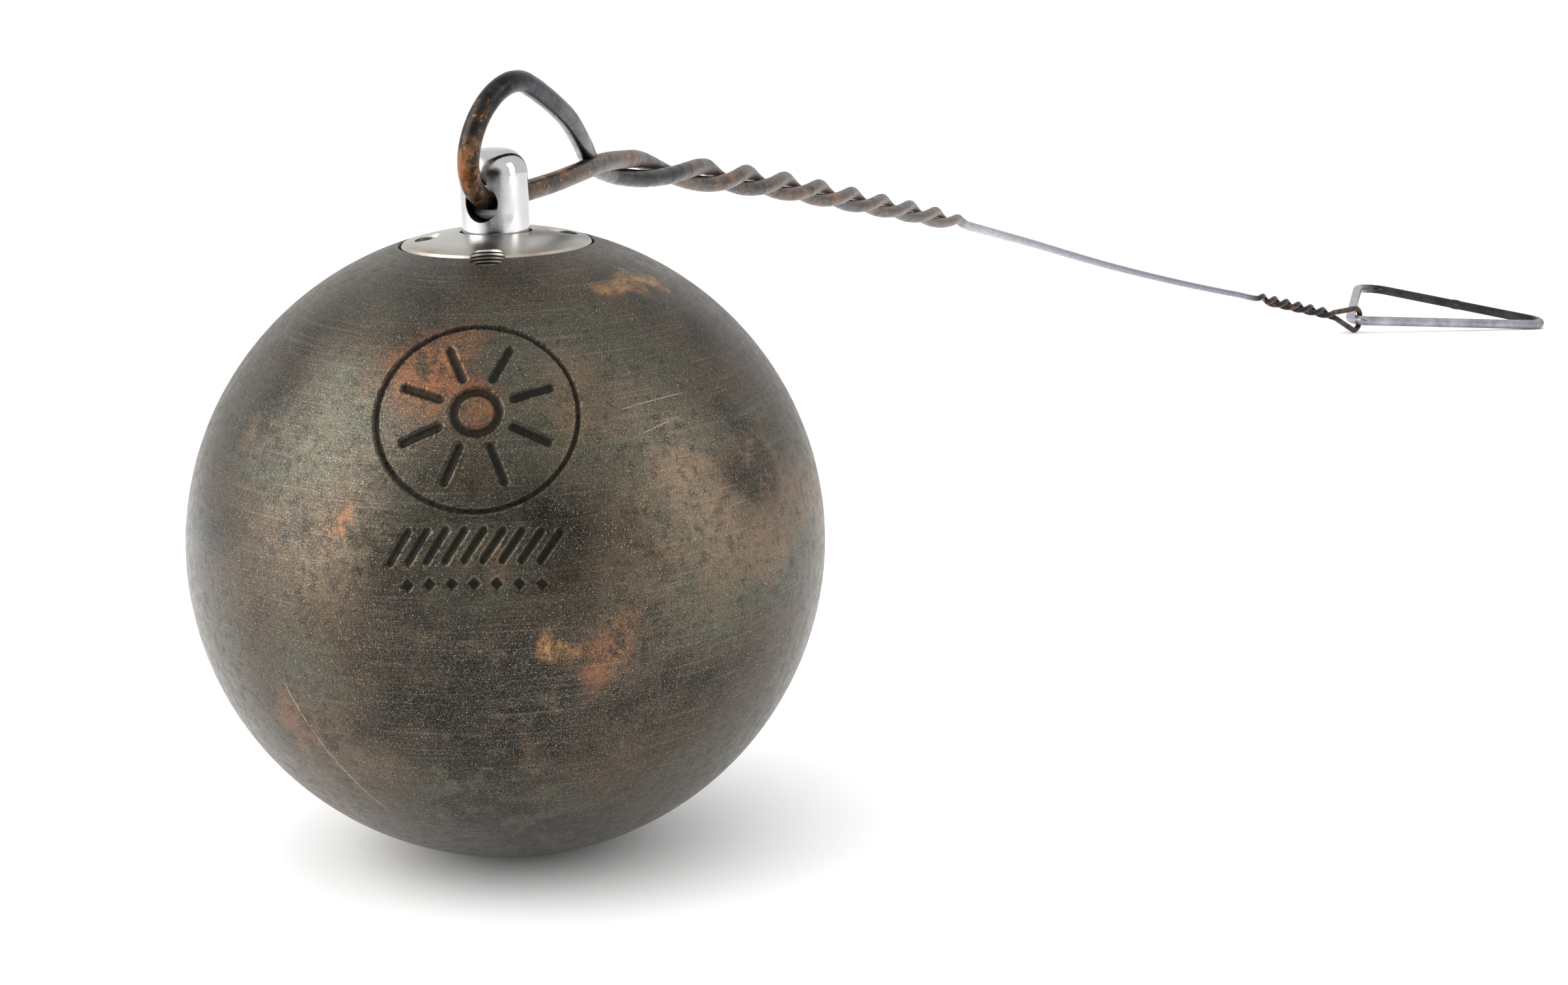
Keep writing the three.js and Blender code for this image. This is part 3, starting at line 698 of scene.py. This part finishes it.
def makeHousing():
    rim = housing["radius"]
    chamfer = housing["rimChamfer"]
    neck = housing["neckRadius"]
    crown = [(r, crownHeight(r)) for r in np.linspace(rim - chamfer, neck + chamfer, 14)]
    profile = [(housing["bearingSeat"], housing["bottom"]), (rim, housing["bottom"]), (rim, 40.0),
               (rim, crownHeight(rim) - chamfer), *crown,
               (neck, crownHeight(neck) - chamfer), (neck, housing["neckLip"]),
               (housing["bushSeat"], housing["neckLip"]), (housing["bushSeat"], housing["shoulder"]),
               (housing["bearingSeat"], housing["shoulder"])]
    points, faces = revolve(profile, evenAngles(180), closed=True)
    piece = newPiece("swivelFlange", toWorld(points), faces)
    cutters = [lockHoleCutter("lockCutB")]
    spanner = housing["spanner"]
    for i, angle in enumerate(spanner["angles"]):
        floor = crownHeight(spanner["offset"]) - spanner["depth"]
        top = crownHeight(spanner["offset"])
        drilled = [(0.0, floor - 0.8), (spanner["radius"], floor), (spanner["radius"], top - 0.2),
                   (spanner["radius"] + 0.7, top + 0.5), (spanner["radius"] + 0.7, 50.0), (0.0, 50.0)]
        points, faces = revolve(drilled, evenAngles(48))
        a = math.radians(angle)
        points += [spanner["offset"] * math.cos(a), spanner["offset"] * math.sin(a), 0]
        cutters.append(newPiece(f"spannerCut{i}", toWorld(points), faces))
    carve(piece, cutters)
    local = (verticesOf(piece) - ballCentre) @ swivelTurn
    reach = np.hypot(local[:, 0], local[:, 1])
    towards = np.cos(np.arctan2(local[:, 1], local[:, 0]) - math.radians(lockHole["angle"]))
    stain = smooth(10.2, 13.4, reach) * smooth(-0.2, 0.9, towards)
    storeMask(piece, "stain", stain)
    # painted shade: the flange is darkened where it lies below the ball's surface, in the gap around the
    # shell and inside the neck and spanner holes
    below = local[:, 2] - np.sqrt(np.maximum(ball["radius"] ** 2 - reach ** 2, 0))
    storeMask(piece, "sunk", smooth(-0.25, -0.9, below))
    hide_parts("swivel_housing")
    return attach(piece, "head")


def makeScrew():
    top, radius = screw["top"], screw["radius"]
    profile = [(0.0, screw["bottom"]), (radius - 0.4, screw["bottom"]), (radius, screw["bottom"] + 0.5)]
    profile += [(radius, top - 0.5), (radius - 0.35, top), (0.0, top)]
    points, faces = revolve(profile, evenAngles(60))
    a = math.radians(lockHole["angle"])
    offset = np.array([lockHole["offset"] * math.cos(a), lockHole["offset"] * math.sin(a), 0])
    piece = newPiece("lockScrew", toWorld(points + offset), faces)
    hexRadius = screw["acrossFlats"] / math.sqrt(3)
    floor = top - screw["socketDepth"]
    socket = [(0.0, floor - 0.4), (hexRadius, floor), (hexRadius, top + 1), (0.0, top + 1)]
    points, faces = revolve(socket, evenAngles(6))
    carve(piece, [newPiece("socketCut", toWorld(points + offset), faces)])
    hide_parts("lock_screw")
    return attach(piece, "head")


def makeStem():
    radius, top, rounded = stem["radius"], stem["top"], stem["roundness"]
    emerges = 44.5  # rows are closer together above the housing's neck
    heights = list(np.linspace(stem["bottom"] + 0.8, emerges, 12))[:-1]
    heights += list(np.arange(emerges, top - rounded, 0.4))
    profile = [(0.0, stem["bottom"]), (radius - 0.7, stem["bottom"])]
    profile += [(radius, height) for height in heights]
    for angle in np.radians(np.arange(0, 86, 5)):
        flat = radius - rounded
        rise = rounded * math.sin(angle) ** 1.06
        profile.append((flat + rounded * math.cos(angle), top - rounded + rise))
    profile += [(1.2, top + 0.02), (0.0, top + 0.03)]
    points, faces = revolve(profile, evenAngles(150))
    for bearing, height, width, depth in stem["knocks"]:
        a = math.radians(bearing)
        place = np.array([radius * math.cos(a), radius * math.sin(a), height])
        near = np.exp(-((points - place) ** 2).sum(1) / width ** 2)
        inward = -points * [1, 1, 0.25]
        inward[:, 2] = 0
        inward /= np.maximum(np.linalg.norm(inward, axis=1), 1e-6)[:, None]
        points += inward * (depth * near)[:, None]
    piece = newPiece("swivelStem", toWorld(points), faces)
    reach = radius + 1.2
    bore = []
    for y in np.linspace(-reach, reach, 41):
        bore.append((stem["holeRadius"] + stem["flare"] * float(smooth(3.2, 5.4, abs(y))), y))
    cutter, cutterFaces = revolve([(0.0, -reach)] + bore + [(0.0, reach)], evenAngles(72))
    cutter = cutter[:, [0, 2, 1]] * [1, 1, -1] + [0, 0, stem["holeHeight"]]
    loop = stem["wireLoop"]
    bend = [(loop["radius"] + stem["wireWear"] * math.cos(a), stem["wireWear"] * math.sin(a))
            for a in evenAngles(24)]
    wear, wearFaces = revolve(bend, evenAngles(120), closed=True)
    wear = wear[:, [2, 1, 0]] * [1, 1, -1] + [0, 0, loop["radius"]]
    wear = wear @ loopTurn().T + [0, 0, stem["holeHeight"]]
    pinReach = radius + 1
    pin, pinFaces = revolve([(0.0, -pinReach), (stem["nutPinBore"], -pinReach),
                             (stem["nutPinBore"], pinReach), (0.0, pinReach)], evenAngles(24))
    pin = pin[:, [2, 1, 0]] * [1, 1, -1] + [0, 0, stem["nutPinHeight"]]
    carve(piece, [newPiece("boreCut", toWorld(cutter), cutterFaces),
                  newPiece("wearCut", toWorld(wear), wearFaces),
                  newPiece("pinCut", toWorld(pin), pinFaces)], sharp=30)
    local = (verticesOf(piece) - ballCentre) @ swivelTurn
    bearing = np.degrees(np.arctan2(local[:, 1], local[:, 0]))
    height = local[:, 2]
    worn = smooth(53.2, 55.8, height) * smooth(58.9, 57.6, height) * smooth(62, 30, np.abs(bearing + 113))
    fromBore = np.hypot(local[:, 0], local[:, 2] - stem["holeHeight"])
    worn = np.maximum(worn, smooth(5.2, 3.4, fromBore) * 0.6)
    storeMask(piece, "worn", worn)
    fromAxis = np.hypot(local[:, 0], local[:, 1])
    # painted shade: marks the inside of the cross hole to be darkened
    storeMask(piece, "bore", smooth(3.1, 2.5, fromBore) * smooth(5.2, 4.2, fromAxis))
    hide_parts("swivel_stem")
    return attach(piece, "stem")


def housingFinish():
    f = Finish("turnedStainless")
    turnBack = Matrix([list(row) for row in swivelTurn.T]).to_euler()
    centred = f.placed(f.place, shift=tuple(-c * mm for c in ballCentre))
    lathe = f.placed(centred, turn=tuple(turnBack))
    rings = f.noise(f.placed(lathe, scale=(60, 60, 9000)), 1.0, 3, 0.6)
    smudge = f.noise(f.place, 90, 4, 0.5)
    stain = f.math("MULTIPLY", f.mask("stain"), f.span(smudge, 0.36, 0.6, 0.3, 1.0))
    colour = f.ramp(smudge, [(0.3, tint(186, 182, 176)), (0.6, tint(206, 203, 197))])
    colour = f.blend(f.math("MULTIPLY", stain, 0.8), colour, tint(142, 118, 86))
    fine = f.noise(f.place, 1500, 3, 0.6)
    colour = f.blend(f.span(fine, 0.6, 0.8, 0.0, 0.35), colour, tint(120, 104, 84))
    # painted shade in the recesses below the ball's surface, with rougher metal there
    sunk = f.mask("sunk")
    colour = f.blend(f.math("MULTIPLY", sunk, 0.75), colour, tint(58, 49, 38))
    rough = f.math("ADD", f.span(smudge, 0.3, 0.7, 0.25, 0.34), f.math("MULTIPLY", stain, 0.12))
    f.set(colour, f.math("ADD", rough, f.math("MULTIPLY", sunk, 0.2)), 1.0)
    f.bumps((smudge, 0.00005, 0.15), (rings, 0.00002, 0.3), (fine, 0.00001, 0.25))
    return f.material


def stemFinish():
    f = Finish("polishedStainless")
    smudge = f.noise(f.place, 260, 5, 0.6)
    scratches = f.noise(f.placed(f.place, scale=(900, 900, 120)), 1.0, 3, 0.7)
    worn = f.math("MULTIPLY", f.mask("worn"), f.span(smudge, 0.35, 0.6, 0.45, 1.0))
    colour = f.ramp(smudge, [(0.3, tint(186, 185, 190)), (0.65, tint(208, 207, 207))])
    colour = f.blend(f.math("MULTIPLY", worn, 0.5), colour, tint(172, 168, 160))
    # the inside of the cross hole darkened as painted shade
    colour = f.blend(f.math("MULTIPLY", f.mask("bore"), 0.85), colour, tint(52, 46, 40))
    rough = f.math("ADD", f.span(scratches, 0.3, 0.75, 0.06, 0.16), f.math("MULTIPLY", worn, 0.32))
    f.set(colour, rough, 1.0)
    f.bumps((smudge, 0.00006, 0.25), (scratches, 0.00002, 0.3))
    return f.material


def darkSteelFinish():
    f = Finish("oiledSteel")
    smudge = f.noise(f.place, 420, 5, 0.65)
    colour = f.ramp(smudge, [(0.35, tint(44, 40, 36)), (0.55, tint(78, 70, 60)), (0.7, tint(116, 96, 74))])
    f.set(colour, f.span(smudge, 0.3, 0.7, 0.32, 0.6), 0.85)
    f.bumps((smudge, 0.00008, 0.5), (f.noise(f.place, 2600, 3, 0.7), 0.00003, 0.5))
    return f.material


housingPiece = makeHousing()
dress(housingPiece, housingFinish())
screwPiece = makeScrew()
darkSteel = darkSteelFinish()
dress(screwPiece, darkSteel)
stemPiece = makeStem()
dress(stemPiece, stemFinish())
print("swivel:", len(housingPiece.data.polygons), "and", len(stemPiece.data.polygons), "faces")


wire = {
    "radius": 1.55,
    "sides": 18,
    "strandOffset": 1.66,
    "upperLegAngle": 20.0,
    "legReach": {"lower": 24.0, "upper": 22.0, "twist": 12.0},
    "firstHalfTurn": 53.0,
    "openHalfPitch": 41.0,
    "tightHalfPitch": 28.0,
    "pitchGrowth": 0.06,
    "tailEnd": 322.0,
    "fade": (322.0, 362.0),
    "farLoopRadius": 6.4,
    "farLeg": 24.0,
    "farTwist": 92.0,
    "farHalfPitch": 15.0,
    "farFade": 14.0,
    # from where the near loop's legs meet to the centre of the far loop, millimetres
    "route": [
        (12.4, 42.6, 102.9), (25.3, 90.8, 101), (38.3, 139, 98.6), (51.2, 187.3, 95.4),
        (64.2, 235.6, 92), (77.1, 283.9, 88.6), (90, 332.2, 85), (103, 380.5, 81),
        (123.8, 452.7, 74.6), (142.3, 504.6, 69), (163.4, 555.5, 62.4), (187.2, 605.2, 55.2),
        (213.6, 653.5, 47.8), (242.5, 700.4, 40.3), (273.9, 745.8, 32.8), (307.6, 789.4, 25.3),
        (343.5, 831.1, 16.6), (380, 869, 8.1),
    ],
}
routeLine = throughPoints(wire["route"], 60)
routeStations = np.concatenate([[0], np.cumsum(np.linalg.norm(np.diff(routeLine, axis=0), axis=1))])
routeLength = routeStations[-1]
routeTangents = np.gradient(routeLine, axis=0)
farTwistStart = routeLength - wire["farLeg"] - wire["farTwist"]


def routeFrame(station):
    s = min(max(station, 0.0), routeLength)
    centre = np.array([np.interp(s, routeStations, routeLine[:, k]) for k in range(3)])
    along = np.array([np.interp(s, routeStations, routeTangents[:, k]) for k in range(3)])
    along /= np.linalg.norm(along)
    right = np.cross(along, (0.0, 0.0, 1.0))
    right /= np.linalg.norm(right)
    return centre, along, right, np.cross(right, along)


def strandPoint(station, angle, offset):
    centre, along, right, up = routeFrame(station)
    return centre + right * offset * math.cos(angle) + up * offset * math.sin(angle)


def nearAngle(station):
    past = station - wire["firstHalfTurn"]
    if past < 0:
        return math.pi * (1.5 + past / wire["openHalfPitch"])
    growth = wire["pitchGrowth"]
    return math.pi * (1.5 + math.log(1 + growth * past / wire["tightHalfPitch"]) / growth)


def farAngle(station):
    return math.pi * (0.5 + (station - (routeLength - wire["farLeg"])) / wire["farHalfPitch"])


def loopPoint(along, up):
    local = loopTurn() @ np.array([0, along, up]) + [0, 0, stem["holeHeight"]]
    return ballCentre + swivelTurn @ local


def nearLeg(start, fall, reach, angle):  # three points of a leg, from the loop to its strand
    heading = loopPoint(math.cos(fall), -math.sin(fall)) - loopPoint(0, 0)
    end = strandPoint(0, angle, wire["strandOffset"])
    leaving = start + heading * reach
    meeting = end - routeFrame(0)[1] * wire["legReach"]["twist"]
    points = []
    for t in (0.25, 0.5, 0.76):
        u = 1 - t
        points.append(u ** 3 * start + 3 * u * u * t * leaving + 3 * u * t * t * meeting + t ** 3 * end)
    return points


def nearLoop():
    radius = stem["wireLoop"]["radius"]
    fall = math.radians(wire["upperLegAngle"])
    arc = []
    for a in np.linspace(-math.pi / 2, -math.pi * 1.5 - fall, 15):
        arc.append(loopPoint(radius * math.cos(a), radius * (1 + math.sin(a))))
    lower = nearLeg(arc[0], 0.0, wire["legReach"]["lower"], nearAngle(0))
    upper = nearLeg(arc[-1], fall, wire["legReach"]["upper"], nearAngle(0) + math.pi)
    return lower[::-1] + arc + upper


def farLoop():
    centre, along, right, up = routeFrame(routeLength)
    radius, leg, offset = wire["farLoopRadius"], wire["farLeg"], wire["strandOffset"]
    fall = math.asin((radius - offset - 0.6) / leg)
    legEnd = (-radius * math.sin(fall), radius * math.cos(fall))

    def place(x, y):
        return centre + along * x + up * y

    def legPoint(t, side):
        return place(legEnd[0] + (-leg - legEnd[0]) * t, side * (legEnd[1] + (offset - legEnd[1]) * t))

    turn = np.linspace(math.pi / 2 + fall, -math.pi / 2 - fall, 13)
    arc = [place(radius * math.cos(a), radius * math.sin(a)) for a in turn]
    return [legPoint(0.7, 1), legPoint(0.35, 1), *arc, legPoint(0.35, -1), legPoint(0.7, -1)]


def wireStations():  # points and how rusty the wire is at each
    stations = []
    offset = wire["strandOffset"]
    for s in np.arange(wire["tailEnd"], 0, -4.6):
        stations.append((strandPoint(s, nearAngle(s), offset), 0.62))
    loop = nearLoop()
    for i, point in enumerate(loop):
        t = i / (len(loop) - 1)
        rust = 0.75 - 0.25 * float(smooth(0.1, 0.5, t)) - 0.4 * float(smooth(0.55, 0.72, t))
        stations.append((point, rust))
    fadeStart, fadeEnd = wire["fade"]
    for s in np.arange(2, fadeEnd, 4.6):
        shrink = 1 - float(smooth(fadeStart, fadeEnd, s))
        rust = 0.12 + 0.5 * float(smooth(10, 60, s)) - 0.62 * float(smooth(fadeStart, fadeEnd - 10, s))
        stations.append((strandPoint(s, nearAngle(s) + math.pi, offset * shrink), rust))
    farFadeStart = farTwistStart - wire["farFade"]
    for s in np.arange(fadeEnd + 16, farFadeStart, 16):
        stations.append((strandPoint(s, 0, 0), 0.0))
    legRoot = routeLength - wire["farLeg"]
    for s in np.arange(farFadeStart + 6, legRoot + 0.01, 2.7):
        grow = float(smooth(farFadeStart, farTwistStart, s))
        stations.append((strandPoint(s, farAngle(s), offset * grow), 0.3 * grow))
    stations += [(point, 0.45) for point in farLoop()]
    for s in np.arange(legRoot, farTwistStart + 3, -2.7):
        stations.append((strandPoint(s, farAngle(s) + math.pi, offset), 0.35))
    return stations


def makeWire():
    stations = wireStations()
    perSpan = 4
    line = throughPoints([point for point, rust in stations], perSpan)
    spots = np.arange(len(line)) / perSpan
    rust = np.interp(spots, range(len(stations)), [rust for point, rust in stations])
    radii = np.full(len(line), wire["radius"])
    radii[[0, -1]] *= 0.8  # the cut ends are dressed
    points, faces = sweep(line, radii, wire["sides"])
    piece = newPiece("hammerWire", points * mm, faces, sharp=40)
    storeMask(piece, "rust", np.repeat(rust, wire["sides"]))
    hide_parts("hammer_wire")
    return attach(piece, "wire")


def wireFinish():
    f = Finish("rustedSpringSteel")
    patches = f.noise(f.place, 150, 7, 0.68)
    scabs = f.noise(f.place, 330, 6, 0.7)
    fine = f.noise(f.place, 1100, 4, 0.65)
    rust = f.mask("rust")
    bright = f.ramp(fine, [(0.35, tint(92, 97, 108)), (0.6, tint(134, 139, 148))])
    sooty = f.ramp(scabs, [(0.36, tint(20, 20, 21)), (0.55, tint(40, 40, 42)), (0.68, tint(64, 62, 62))])
    brown = f.ramp(patches, [(0.34, tint(26, 22, 18)), (0.45, tint(62, 48, 34)), (0.55, tint(84, 62, 43)),
                             (0.66, tint(126, 80, 43))])
    spread = f.math("ADD", rust, f.span(patches, 0.3, 0.7, -0.3, 0.3))
    old = f.blend(f.span(spread, 0.3, 0.7), sooty, brown)
    old = f.blend(f.math("MULTIPLY", f.span(scabs, 0.5, 0.54, 0.0, 0.85), f.span(rust, 0.2, 0.4)), old,
                  tint(22, 20, 18))
    old = f.blend(f.math("MULTIPLY", f.span(fine, 0.58, 0.66, 0.0, 0.6), f.span(rust, 0.2, 0.5)), old,
                  tint(176, 116, 62))
    colour = f.blend(f.span(rust, 0.02, 0.12), bright, old)
    rough = f.math("ADD", f.span(rust, 0.0, 0.3, 0.22, 0.34), f.span(scabs, 0.35, 0.6, 0.1, -0.04))
    f.set(colour, rough, f.span(rust, 0.1, 0.8, 0.95, 0.4))
    f.bumps((patches, 0.00015, 0.2), (scabs, 0.0001, 0.35), (fine, 0.00003, 0.2))
    return f.material


wirePiece = makeWire()
dress(wirePiece, wireFinish())
print("wire:", len(wirePiece.data.polygons), "faces")


grip = {
    "rodRadius": 2.75,
    "width": 140.0,
    "height": 122.0,
    "apexBend": 7.0,
    "cornerBend": 12.0,
    "azimuth": 42.3,
    "pitch": 1.5,
    "roll": 7.2,
    "eyeClearance": 0.35,
    "sides": 24,
    "bead": {"half": 3.0, "proud": 0.3},
}


def gripOutline():  # one closed turn of the rod's centre line, starting at the weld
    half = math.atan2(grip["width"] / 2, grip["height"])
    corner = (math.pi / 2 - half) / 2
    apex, bend = grip["apexBend"], grip["cornerBend"]
    barY = grip["height"] - (apex / math.sin(half) - apex)
    cornerX = grip["width"] / 2 - bend / math.tan(corner)
    points = []

    def run(start, end, step):
        count = max(2, int(math.dist(start, end) / step))
        for t in np.arange(count) / count:
            points.append((start[0] + (end[0] - start[0]) * t, start[1] + (end[1] - start[1]) * t, 0.0))

    def arc(cx, cy, radius, begin, end, steps=18):
        for a in np.linspace(begin, end, steps, endpoint=False):
            points.append((cx + radius * math.cos(a), cy + radius * math.sin(a), 0.0))
        return cx + radius * math.cos(end), cy + radius * math.sin(end)

    run((0.0, barY), (6.0, barY), 0.5)
    run((6.0, barY), (cornerX, barY), 4.0)
    last = arc(cornerX, barY - bend, bend, math.pi / 2, -half)
    run(last, (apex * math.cos(half), apex - apex * math.sin(half)), 4.0)
    last = arc(0.0, apex, apex, -half, half - math.pi)
    far = math.pi + half
    run(last, (-cornerX + bend * math.cos(far), barY - bend + bend * math.sin(far)), 4.0)
    arc(-cornerX, barY - bend, bend, math.pi + half, math.pi / 2)
    run((-cornerX, barY), (-6.0, barY), 4.0)
    run((-6.0, barY), (0.0, barY), 0.5)
    return np.array(points)


def makeGrip():
    line = gripOutline()
    bead = grip["bead"]
    fromWeld = np.where(line[:, 1] > line[:, 1].max() - 0.5, np.abs(line[:, 0]), 99)
    radii = grip["rodRadius"] + bead["proud"] * smooth(bead["half"], bead["half"] * 0.4, fromWeld)
    radii += 0.07 * np.sin(line[:, 0] * 7.0) * smooth(bead["half"], 1.0, fromWeld)  # the bead's ripples
    points, faces = sweep(line, radii, grip["sides"], loop=True)
    centre, along, right, up = routeFrame(routeLength)
    play = wire["farLoopRadius"] - wire["radius"] - grip["rodRadius"] - grip["eyeClearance"]
    turn = (Matrix.Rotation(math.radians(grip["azimuth"] - 90), 3, "Z")
            @ Matrix.Rotation(math.radians(grip["pitch"]), 3, "X")
            @ Matrix.Rotation(math.radians(grip["roll"]), 3, "Y"))
    points = points @ np.array(turn).T + centre + along * play
    piece = newPiece("gripRod", points * mm, faces)
    local = (points - centre - along * play) @ np.array(turn)
    # marks the bar, which the finish colours dark as painted shade
    storeMask(piece, "bar", smooth(line[:, 1].max() - 16, line[:, 1].max() - 2, local[:, 1]))
    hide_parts("grip_frame")
    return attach(piece, "grip")


def gripFinish():
    f = Finish("gripSteelWithPaintedShade")
    smudge = f.noise(f.place, 60, 6, 0.6)
    fine = f.noise(f.place, 700, 4, 0.7)
    # painted light and shade on one steel rod: the arms light as lit steel, the bar dark as its shaded
    # side mirroring the dark surroundings
    arm = f.ramp(smudge, [(0.35, tint(120, 122, 128)), (0.62, tint(176, 178, 184))])
    bar = f.ramp(smudge, [(0.35, tint(34, 34, 37)), (0.62, tint(62, 62, 66))])
    colour = f.blend(f.mask("bar"), arm, bar)
    colour = f.blend(f.span(fine, 0.6, 0.75, 0.0, 0.5), colour, tint(74, 62, 50))
    f.set(colour, f.span(smudge, 0.3, 0.7, 0.22, 0.38), 0.9)
    f.bumps((smudge, 0.0002, 0.2), (fine, 0.00005, 0.35))
    return f.material


gripPiece = makeGrip()
dress(gripPiece, gripFinish())
print("grip:", len(gripPiece.data.polygons), "faces")


def tungstenFinish():
    f = Finish("pressedTungsten")
    grains, tone = f.cells(f.place, 1400)
    cloud = f.noise(f.place, 240, 4, 0.6)
    colour = f.ramp(cloud, [(0.35, tint(82, 82, 86)), (0.65, tint(124, 124, 128))])
    colour = f.blend(f.span(grains, 0.2, 0.6, 0.0, 0.4), colour, tint(52, 52, 56))
    f.set(colour, f.span(cloud, 0.3, 0.7, 0.5, 0.72), 0.7)
    f.bumps((grains, 0.00012, 0.6))
    return f.material


def bronzeFinish():
    f = Finish("oiledBronze")
    pores, tone = f.cells(f.place, 2200)
    smudge = f.noise(f.place, 500, 4, 0.6)
    colour = f.ramp(smudge, [(0.35, tint(128, 96, 46)), (0.65, tint(178, 140, 78))])
    colour = f.blend(f.span(pores, 0.0, 0.25, 0.6, 0.0), colour, tint(70, 50, 26))
    f.set(colour, f.span(smudge, 0.3, 0.7, 0.28, 0.48), 1.0)
    f.bumps((pores, 0.00005, 0.4))
    return f.material


def bearingFinish():
    f = Finish("groundBearingSteel")
    smudge = f.noise(f.place, 700, 4, 0.6)
    lines = f.noise(f.placed(f.place, scale=(300, 300, 6000)), 1.0, 3, 0.6)
    colour = f.ramp(smudge, [(0.35, tint(176, 179, 184)), (0.65, tint(212, 214, 218))])
    f.set(colour, f.span(lines, 0.3, 0.7, 0.08, 0.2), 1.0)
    f.bumps((lines, 0.00001, 0.3), (smudge, 0.00002, 0.2))
    return f.material


def plainStainlessFinish():
    f = Finish("milledStainless")
    cuts = f.noise(f.placed(f.place, scale=(400, 1800, 400)), 1.0, 3, 0.6)
    smudge = f.noise(f.place, 300, 4, 0.6)
    colour = f.ramp(smudge, [(0.35, tint(150, 148, 144)), (0.65, tint(190, 188, 184))])
    f.set(colour, f.span(cuts, 0.3, 0.7, 0.2, 0.42), 1.0)
    f.bumps((cuts, 0.00003, 0.4))
    return f.material


innerPieces = [
    (tungstenFinish(), ["core_filling"]),
    (darkSteel, ["core_seal", "housing_cap", "nut_pin"]),
    (bronzeFinish(), ["neck_bush", "bearing_cage"]),
    (bearingFinish(), ["upper_race", "lower_race"] + [f"bearing_ball_{i}" for i in range(1, 10)]),
    (plainStainlessFinish(), ["spindle_nut"]),
]
for finish, nodeNames in innerPieces:
    for nodeName in nodeNames:
        dress(frame["nodes"][nodeName], finish)
print("inner pieces dressed")
